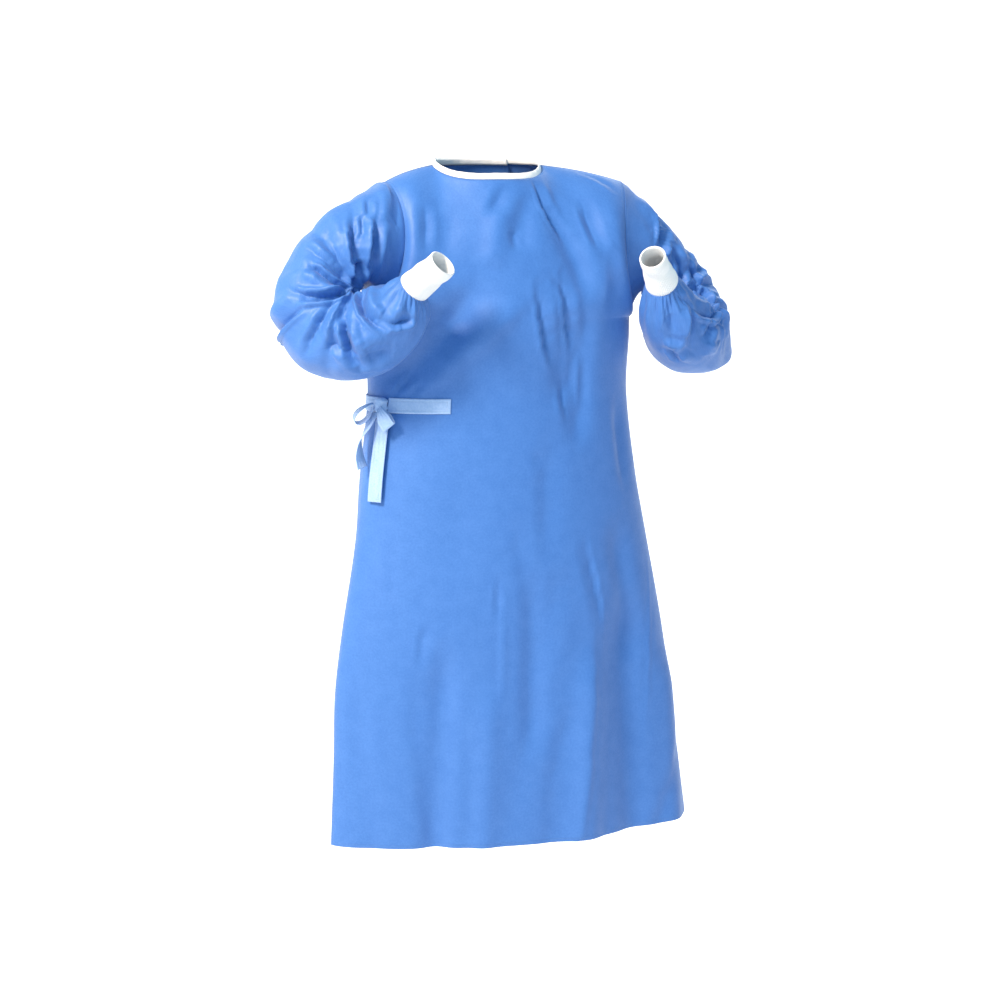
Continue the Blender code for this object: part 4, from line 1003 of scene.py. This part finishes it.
# %% [markdown]
# ## Cuffs
#
# A cuff is a short double tube of knit that pulls in towards its mouth. At the mouth the cloth
# is folded back inside, so the edge is round. The path of its cut face goes up the outside,
# over the fold and down the inside, and the ribs are small waves round it.

# %% Knit the cuffs
CUFF_RIBS = 58
RIB_DEPTH = 0.00045
CUFF_WALL = 0.0022


def make_cuff(name, hand):
    sleeve = SLEEVES[hand]
    axis = sleeve["cuff_axis"]
    middle, radial, front = (part[0] for part in ring_frames(hand, np.array([LAST_RING])))
    angles = np.linspace(0, 2 * math.pi, CUFF_RIBS * 6 + 1) + math.pi
    run = np.concatenate([np.linspace(0, 1, 30), np.full(5, 1.0), np.linspace(0.97, 0.02, 18)])
    fold = np.concatenate([np.zeros(30), np.linspace(0.15, 0.85, 5), np.ones(18)])
    angle, run = np.meshgrid(angles, run)
    _, fold = np.meshgrid(angles, fold)
    width = 1 + (sleeve["cuff_mouth"] - 1) * smooth_step(run * 1.3)
    ripple = 0.0012 * np.sin(3 * math.pi * run) * np.sin(angle + 2 * run)
    slump = 0.0011 * np.sin(5.2 * math.pi * run + 1.3 * np.sin(angle + 0.6))
    slump = slump * (0.45 + 0.55 * np.cos(angle - 1.2)) * np.sin(math.pi * run)
    ribs = RIB_DEPTH * np.cos(CUFF_RIBS * angle) * (1 - 0.6 * fold)
    around = radial * np.cos(angle)[..., None] + front * np.sin(angle)[..., None]
    out = unit(around)
    lip = 0.0009 * np.sin(math.pi * np.clip(fold, 0, 1))
    reach = sleeve["cuff_length"] * run - 0.0009 + lip
    inward = CUFF_WALL * smooth_step(fold)
    points = (middle + around * width[..., None] + axis * reach[..., None]
              + out * (ripple + slump + ribs - inward)[..., None])
    points[:, -1] = points[:, 0]
    piece, area = lay_sheet(name, points, seam_map(points), knit_white, 0.0005,
                            closed=True, flip=hand == LEFT)
    return piece, area


cuff_right_knit, cuff_right_area = make_cuff("cuff_right_knit", RIGHT)
cuff_left_knit, cuff_left_area = make_cuff("cuff_left_knit", LEFT)
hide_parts("cuff_right")
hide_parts("cuff_left")

# %% [markdown]
# ## Neck binding
#
# The neckline is bound: a narrow knit strip is folded over the raw edge and sewn down. So its
# cut face is a long U, up the outside, over the top and down the inside. The strip starts on
# the outer back panel, runs round the front and ends under the outer panel.

# %% Bind the neck
BINDING_LEAN = 0.40


def binding_path():
    """Stations round the neck: side, turn and how far under the outer panel they lie."""
    outer = [(BACK, turn, 0.0) for turn in np.linspace(-5 / 7, 1, 96)[:-1]]
    front = [(FRONT, turn, 0.0) for turn in np.linspace(1, -1, 120)[:-1]]
    inner = []
    for turn in np.linspace(-1, 3 / 7, 80):
        across = np.array(turn * NECK_SHARE)
        inner.append((BACK, turn, float(lap_inset(across, np.array(2.0)))))
    return outer + front + inner


def make_binding(name):
    path = binding_path()
    edge = np.array([neck_edge(side, turn) for side, turn, _ in path])
    inset = np.array([row[2] for row in path])[:, None]
    away = edge - NECK_CENTRE
    away[:, 2] = 0
    away = unit(away)
    out = unit(away * 0.8 + np.array((0, 0, 0.6)))
    rise = unit(np.array((0, 0, 1)) - away * BINDING_LEAN)
    length = np.arange(len(edge)) * 0.0026
    puff = 0.0003 * np.sin(length * 310) + 0.0004 * np.sin(length * 95 + 1)
    rows = []
    for height, depth in ((-0.0022, -0.0001), (0.0, 0.0004), (0.0025, 0.0007), (0.005, 0.0008),
                          (0.0075, 0.0006), (0.0092, 0.0001), (0.0101, -0.0008),
                          (0.0101, -0.0018), (0.0090, -0.0026), (0.0060, -0.0030),
                          (0.0025, -0.0030), (-0.0015, -0.0028)):
        shape = rise * height + out * (depth + puff * (height > 0.001))[:, None]
        rows.append(edge - out * inset + shape)
    points = np.array(rows)
    piece, area = lay_sheet(name, points, seam_map(points, high=False, first=False, last=False),
                            knit_white, 0.0006, flip=True)
    return piece, area


neck_binding_knit, binding_area = make_binding("neck_binding_knit")
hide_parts("neck_binding")

# %% [markdown]
# ## The belt's tape
#
# The belt is a strip of the same cloth, folded in on itself and sewn along both edges, which
# makes it stiffer and paler. Its finish has the same welded dots with two rows of stitches.

# %% The tape's finish
belt_tape = nonwoven("belt_tape", (0.26, 0.42, 0.72, 1), (0.36, 0.52, 0.80, 1), 0.2)
BELT_WIDTH = 0.027
BELT_WALL = 0.0015
BELT_SEAT = 0.0006
TAPE_THICKNESS = 0.0011

# %% [markdown]
# The tape lies on the gown, so it is laid on points of the panel's own outside, moved out by
# its seat. The plain CAD panel has flat facets between its grid points, and the belt sits on
# those, so the outside is read there from a coarse grid in the same way.

# %% Points of the panel's outside
def coarse_grid(side):
    rows = np.concatenate([np.arange(18) / 17, 1 + np.arange(1, 15) / 14])
    across, level = np.meshgrid(-1 + 2 * np.arange(COLUMNS + 1) / COLUMNS, rows)
    fine_across, fine_level = np.meshgrid(np.linspace(-1, 1, 121), np.linspace(0, 2, 161))
    base = body_form(side, across, level)
    fine = outward_normals(body_form(side, fine_across, fine_level), -side)
    column = np.round((across + 1) * 60).astype(int)
    row = np.round(level * 80).astype(int)
    normals = fine[row, column]
    for edge, hand in ((0, RIGHT), (-1, LEFT)):
        normals[:18, edge] = (hand, 0, 0)
    drape = FRONT_DRAPE if side == FRONT else BACK_DRAPE
    offset = drape_offset(drape, base[..., 0], base[..., 2]) * sewn_fade(across, level)
    return base + normals * offset[..., None], normals


WALLS = {side: coarse_grid(side) for side in (FRONT, BACK)}


def wall_point(side, column, z):
    """The wall's outside at a column and a height, and its outward direction."""
    points, normals = WALLS[side]
    low = min(int(column), COLUMNS - 1)
    heights = points[:, low, 2]
    row = int(np.clip(np.searchsorted(heights, z) - 1, 0, len(heights) - 2))
    up = (z - heights[row]) / (heights[row + 1] - heights[row])
    part = column - low
    place, out = np.zeros(3), np.zeros(3)
    for i, j, share in ((low, row, (1 - part) * (1 - up)), (low + 1, row, part * (1 - up)),
                        (low, row + 1, (1 - part) * up), (low + 1, row + 1, part * up)):
        place = place + points[j, i] * share
        out = out + normals[j, i] * share
    return place, unit(out)


# %% Tapes that lie flat
def tape_profile(v, ruffle):
    """A sewn tape's outside across its width: flat, with slightly thicker folded edges."""
    edge = np.minimum(v, 1 - v)
    return 0.00025 * np.exp(-((edge - 0.10) / 0.05) ** 2) - 0.0004 * np.exp(-edge / 0.02) + ruffle


def make_flat_tape(name, columns_along, z_low, z_high, lift, cells, rows, wave, side_of):
    across = np.linspace(0, 1, rows + 1)
    points = np.zeros((rows + 1, cells + 1, 3))
    for i, (side, column) in enumerate(columns_along):
        share = i / cells
        for j, v in enumerate(across):
            z = z_low + (z_high - z_low) * v
            place, out = wall_point(side, column, z)
            ruffle = wave * math.sin(19 * share + 5 * v) * (0.4 + 0.6 * v * (1 - v) * 4)
            rise = BELT_SEAT + BELT_WALL + lift(share) + float(tape_profile(v, ruffle))
            points[j, i] = place + out * rise
    piece, _ = lay_sheet(name, points, seam_map(points), belt_tape, TAPE_THICKNESS,
                         flip=side_of == BACK)
    return piece


def strip_columns(side, first, last, cells):
    return [(side, first + (last - first) * i / cells) for i in range(cells + 1)]


belt_tab_tape = make_flat_tape(
    "belt_tab_tape", strip_columns(FRONT, 4.06, 9.8, 60), -0.4345, -0.4075,
    lambda share: 0.0035 * (1 - smooth_step(share)), 60, 16, 0.00025, FRONT)
long_tail_tape = make_flat_tape(
    "long_tail_tape", strip_columns(FRONT, 2.75, 4.45, 16), -0.594, -0.4357,
    lambda share: 0.006 + 0.0015 * smooth_step(share), 16, 90, 0.0006, FRONT)
neck_tab_tape = make_flat_tape(
    "neck_tab_tape", strip_columns(BACK, 8.4, 12.4, 44), -0.060, -0.036,
    lambda share: 0.0, 44, 14, 0.00025, BACK)
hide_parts("belt_tab")
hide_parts("belt_tail_long")
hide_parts("neck_tab")

# %% [markdown]
# The long run of the belt comes from the back edge round the wearer's right side. It crosses
# the side seam, where the column count starts again on the front.

# %% The belt round the side
def wrap_columns(cells):
    back, front = 11.6, 2.72
    places = []
    for i in range(cells + 1):
        run = (back + front) * i / cells
        places.append((BACK, back - run) if run < back else (FRONT, run - back))
    return places


belt_wrap_tape = make_flat_tape(
    "belt_wrap_tape", wrap_columns(130), BELT_Z - BELT_WIDTH / 2, BELT_Z + BELT_WIDTH / 2,
    lambda share: 0.0035 * smooth_step((share * 16 - 12) / 3), 130, 14, 0.0004, FRONT)
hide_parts("belt_wrap")

# %% [markdown]
# ## The bow
#
# A bow is one tape: two loops and two ends that leave a pulled-tight knot. At the knot the
# tape is pinched, so each ribbon narrows and creases there. The knot itself is a short turn of
# tape round the others, so it is a rounded block with slanted creases rather than a ball.

# %% The knot
KNOT_SIZE = np.array((0.026, 0.020, 0.028))
KNOT_PINCH = 0.42
knot_at, knot_out = wall_point(FRONT, 3.4, BELT_Z)
knot_out[2] = 0
knot_out = unit(knot_out)
knot_up = np.array((0.0, 0.0, 1.0))
knot_side = np.cross(knot_up, knot_out)
knot_middle = knot_at + knot_out * (KNOT_SIZE[1] / 2 + BELT_SEAT)


def knot_space(side, out, up):
    return knot_middle + knot_side * side + knot_out * out + knot_up * up


def make_knot(name):
    bm = bmesh.new()
    flat_map = bm.loops.layers.uv.new("flat")
    bm.loops.layers.uv.new("seam")
    bmesh.ops.create_uvsphere(bm, u_segments=72, v_segments=44, radius=0.5)
    for face in bm.faces:
        for loop in face.loops:
            turn = math.atan2(loop.vert.co.y, loop.vert.co.x)
            loop[flat_map].uv = (turn * 0.012, loop.vert.co.z * 0.03)
    for vert in bm.verts:
        x, y, z = (math.copysign(abs(2 * c) ** 0.72, c) / 2 for c in vert.co)
        slant = z + 0.35 * x
        wrap = 0.075 * math.cos(15 * slant) + 0.05 * math.cos(27 * slant + 2 * x)
        wrap *= 1 - abs(2 * z) ** 3
        pinch = (1 - 0.18 * math.cos(math.pi * z) ** 2) * (1 + wrap)
        vert.co = Vector(knot_space(x * KNOT_SIZE[0] * pinch, y * KNOT_SIZE[1] * (1 + 0.5 * wrap),
                                    z * KNOT_SIZE[2]))
    bmesh.ops.recalc_face_normals(bm, faces=bm.faces[:])
    return make_mesh_piece(name, bm, belt_tape)


knot_tape = make_knot("knot_tape")
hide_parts("belt_knot")

# %% Loops and the short end
LOOPS = {
    "belt_loop_front": {"start": (0.004, 0.0125, -0.004), "run": (0.62, 0.05, -0.78),
                        "face": (0.10, 1.0, 0.10), "length": 0.042, "depth": 0.006},
    "belt_loop_side": {"start": (-0.0143, 0.0048, 0.002), "run": (-0.55, 0.45, -0.70),
                       "face": (-0.45, 0.60, 0.66), "length": 0.046, "depth": 0.013},
}
SHORT_TAIL = (
    # step side out up turn
    (0, -0.009, 0.003, -0.0124, 12),
    (1, -0.020, 0.014, -0.040, 35),
    (2, -0.032, 0.022, -0.064, 60),
    (3, -0.034, 0.022, -0.088, 80),
    (4, -0.028, 0.018, -0.112, 95),
)


def in_knot_axes(parts):
    return unit(knot_side * parts[0] + knot_out * parts[1] + knot_up * parts[2])


def pinch_creases(v, closeness):
    """Small creases across a ribbon, deepest where the knot gathers it."""
    return 0.0011 * np.cos(2 * math.pi * 3.5 * v + 0.8) * closeness


def make_loop(name, loop, node):
    start = knot_space(*loop["start"])
    run, face = in_knot_axes(loop["run"]), in_knot_axes(loop["face"])
    face = unit(face - run * (face @ run))
    width = np.cross(run, face)
    turns = np.linspace(0, 2 * math.pi, 97)

    def path(turn):
        opening = 0.35 + 0.65 * math.sin(turn / 2)
        return (start + run * loop["length"] * (1 - math.cos(turn)) / 2
                + face * loop["depth"] * math.sin(turn) * opening)

    points = np.zeros((15, len(turns), 3))
    for i, turn in enumerate(turns):
        along = path(turn + 0.03) - path(turn - 0.03)
        normal = unit(np.cross(width, along))
        away = (1 - math.cos(turn)) / 2
        spread = BELT_WIDTH * (KNOT_PINCH + (1 - KNOT_PINCH) * smooth_step(1.6 * away))
        v = np.linspace(0, 1, 15)
        crease = pinch_creases(v, 1 - smooth_step(1.5 * away))[:, None]
        points[:, i] = (path(turn) + width * spread * (v - 0.5)[:, None]
                        + normal * crease)
    points[:, -1] = points[:, 0]
    piece, _ = lay_sheet(name, points, seam_map(points, first=False, last=False), belt_tape,
                         TAPE_THICKNESS, closed=True, flip=True)
    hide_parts(node)
    return piece


def make_short_tail(name):
    steps = np.linspace(0, 4, 61)

    def path(step):
        return knot_space(*read_table(SHORT_TAIL, step)[:3])

    points = np.zeros((15, len(steps), 3))
    for i, step in enumerate(steps):
        turn = math.radians(read_table(SHORT_TAIL, step)[3])
        along = unit(path(step + 0.05) - path(max(step - 0.05, 0)))
        width = knot_side * math.cos(turn) + knot_out * math.sin(turn)
        width = unit(width - along * (width @ along))
        normal = np.cross(along, width)
        spread = BELT_WIDTH * (KNOT_PINCH + (1 - KNOT_PINCH) * smooth_step(step))
        v = np.linspace(0, 1, 15)
        crease = pinch_creases(v, 1 - 0.8 * smooth_step(step / 1.5))[:, None]
        curl = 0.0016 * math.sin(1.9 * step) * (2 * v - 1)[:, None] ** 2
        points[:, i] = path(step) + width * spread * (v - 0.5)[:, None] + normal * (crease + curl)
    piece, _ = lay_sheet(name, points, seam_map(points), belt_tape, TAPE_THICKNESS)
    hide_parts("belt_tail_short")
    return piece


loop_front_tape = make_loop("loop_front_tape", LOOPS["belt_loop_front"], "belt_loop_front")
loop_side_tape = make_loop("loop_side_tape", LOOPS["belt_loop_side"], "belt_loop_side")
short_tail_tape = make_short_tail("short_tail_tape")

# %% [markdown]
# ## Hem
#
# The lower edge is turned up inside once and welded. From outside only a faint line shows,
# which the material draws, but from below the turned strip can be seen, so it is a strip of
# its own just inside the panels.

# %% Turn up the hem
def make_hem_turn(name, side, points):
    piece, _ = lay_sheet(name, points, seam_map(points, low=False), gown_cloth, 0.0005,
                         flip=side == BACK)
    return piece


front_hem = make_hem_turn("front_hem", FRONT, front_inside)
back_outer_hem = make_hem_turn("back_outer_hem", BACK, outer_inside)
back_inner_hem = make_hem_turn("back_inner_hem", BACK, inner_inside)

# %% [markdown]
# ## The area of each sheet
#
# Cloth hardly stretches, so the area of a draped sheet has to be close to the area of the flat
# piece it was cut from. The draped area of each sheet laid as a grid is printed when it is laid.

# %% [markdown]
# ## Floor, light and camera
#
# The picture is a catalogue shot on white. A pale floor curves up into a backdrop. Behind the
# gown it glows as strongly lit paper does, and less in front, so that the ground is white and
# the front of the gown is lit by its own lamps. One large soft lamp at the left front gives the pale side and the slow
# change to deep blue on the right, and the sky's dim light fills the shade.

# %% Floor and backdrop
FLOOR_Z = -1.62
BEND_START = 4.5
BEND_RADIUS = 3.0
GLOW_START = -0.6
GLOW_FULL = 0.1


def make_floor():
    finish = Finish("white_paper", Roughness=0.9, Specular_IOR_Level=0.1,
                    Base_Color=(0.60, 0.60, 0.60, 1), Emission_Color=(1.0, 0.99, 0.97, 1))
    place = finish.add("TexCoord", {}, output=3)
    parts = finish.tree.nodes.new("ShaderNodeSeparateXYZ")
    finish.tree.links.new(place, parts.inputs[0])
    finish.wire(finish.fit(parts.outputs[1], GLOW_START, GLOW_FULL, 0.45, 0.95), "Emission Strength")
    bm = bmesh.new()
    bmesh.ops.create_grid(bm, x_segments=1, y_segments=120, size=12)
    for vert in bm.verts:
        past = vert.co.y - BEND_START
        turn = min(max(past, 0) / BEND_RADIUS, math.pi / 2)
        straight = max(past - BEND_RADIUS * math.pi / 2, 0)
        if past > 0:
            vert.co.y = BEND_START + BEND_RADIUS * math.sin(turn)
            vert.co.z = BEND_RADIUS * (1 - math.cos(turn)) + straight * 2
        vert.co.x *= 1.4
        vert.co.z += FLOOR_Z
    mesh = bpy.data.meshes.new("floor")
    bm.to_mesh(mesh)
    bm.free()
    mesh.materials.append(finish.material)
    mesh.shade_smooth()
    floor = bpy.data.objects.new("floor", mesh)
    bpy.context.scene.collection.objects.link(floor)
    floor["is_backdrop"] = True


make_floor()

# %% Lamps
def softbox(name, place, aim, size, power, colour):
    light = bpy.data.lights.new(name, "AREA")
    light.shape = "RECTANGLE"
    light.size, light.size_y = size
    light.energy = power
    light.color = colour
    lamp = bpy.data.objects.new(name, light)
    lamp.location = place
    lamp.rotation_euler = (Vector(aim) - Vector(place)).to_track_quat("-Z", "Y").to_euler()
    bpy.context.scene.collection.objects.link(lamp)


softbox("key", (-3.6, -2.3, 2.9), (0, 0, -0.35), (1.0, 1.3), 520, (1.0, 0.82, 0.66))
softbox("front", (-1.8, -4.6, 1.6), (0, 0, -0.6), (1.4, 1.4), 26, (0.86, 0.94, 1.0))
softbox("rim", (2.6, 2.6, 2.0), (0, 0, -0.4), (1.6, 1.6), 24, (0.70, 0.88, 1.0))
world = bpy.data.worlds.new("studio")
bpy.context.scene.world = world
world.use_nodes = True
world.node_tree.nodes["Background"].inputs["Color"].default_value = (0.50, 0.80, 1.0, 1)
world.node_tree.nodes["Background"].inputs["Strength"].default_value = 0.70
bpy.context.scene.view_settings.view_transform = "Standard"

# %% Camera
camera_data = bpy.data.cameras.new("camera")
camera_data.lens = 79.2
camera_data.sensor_width = 36
camera_data.dof.use_dof = False
camera = bpy.data.objects.new("camera", camera_data)
camera.location = (-1.328, -3.780, 0.0)
camera.rotation_euler = (math.radians(90 - 8.66), 0, math.radians(-19.4))
bpy.context.scene.collection.objects.link(camera)
bpy.context.scene.camera = camera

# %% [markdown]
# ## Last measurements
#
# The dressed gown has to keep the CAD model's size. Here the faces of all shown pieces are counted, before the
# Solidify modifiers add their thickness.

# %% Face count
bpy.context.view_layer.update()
total = sum(len(piece.data.polygons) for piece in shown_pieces())
print("faces before thickness:", total)
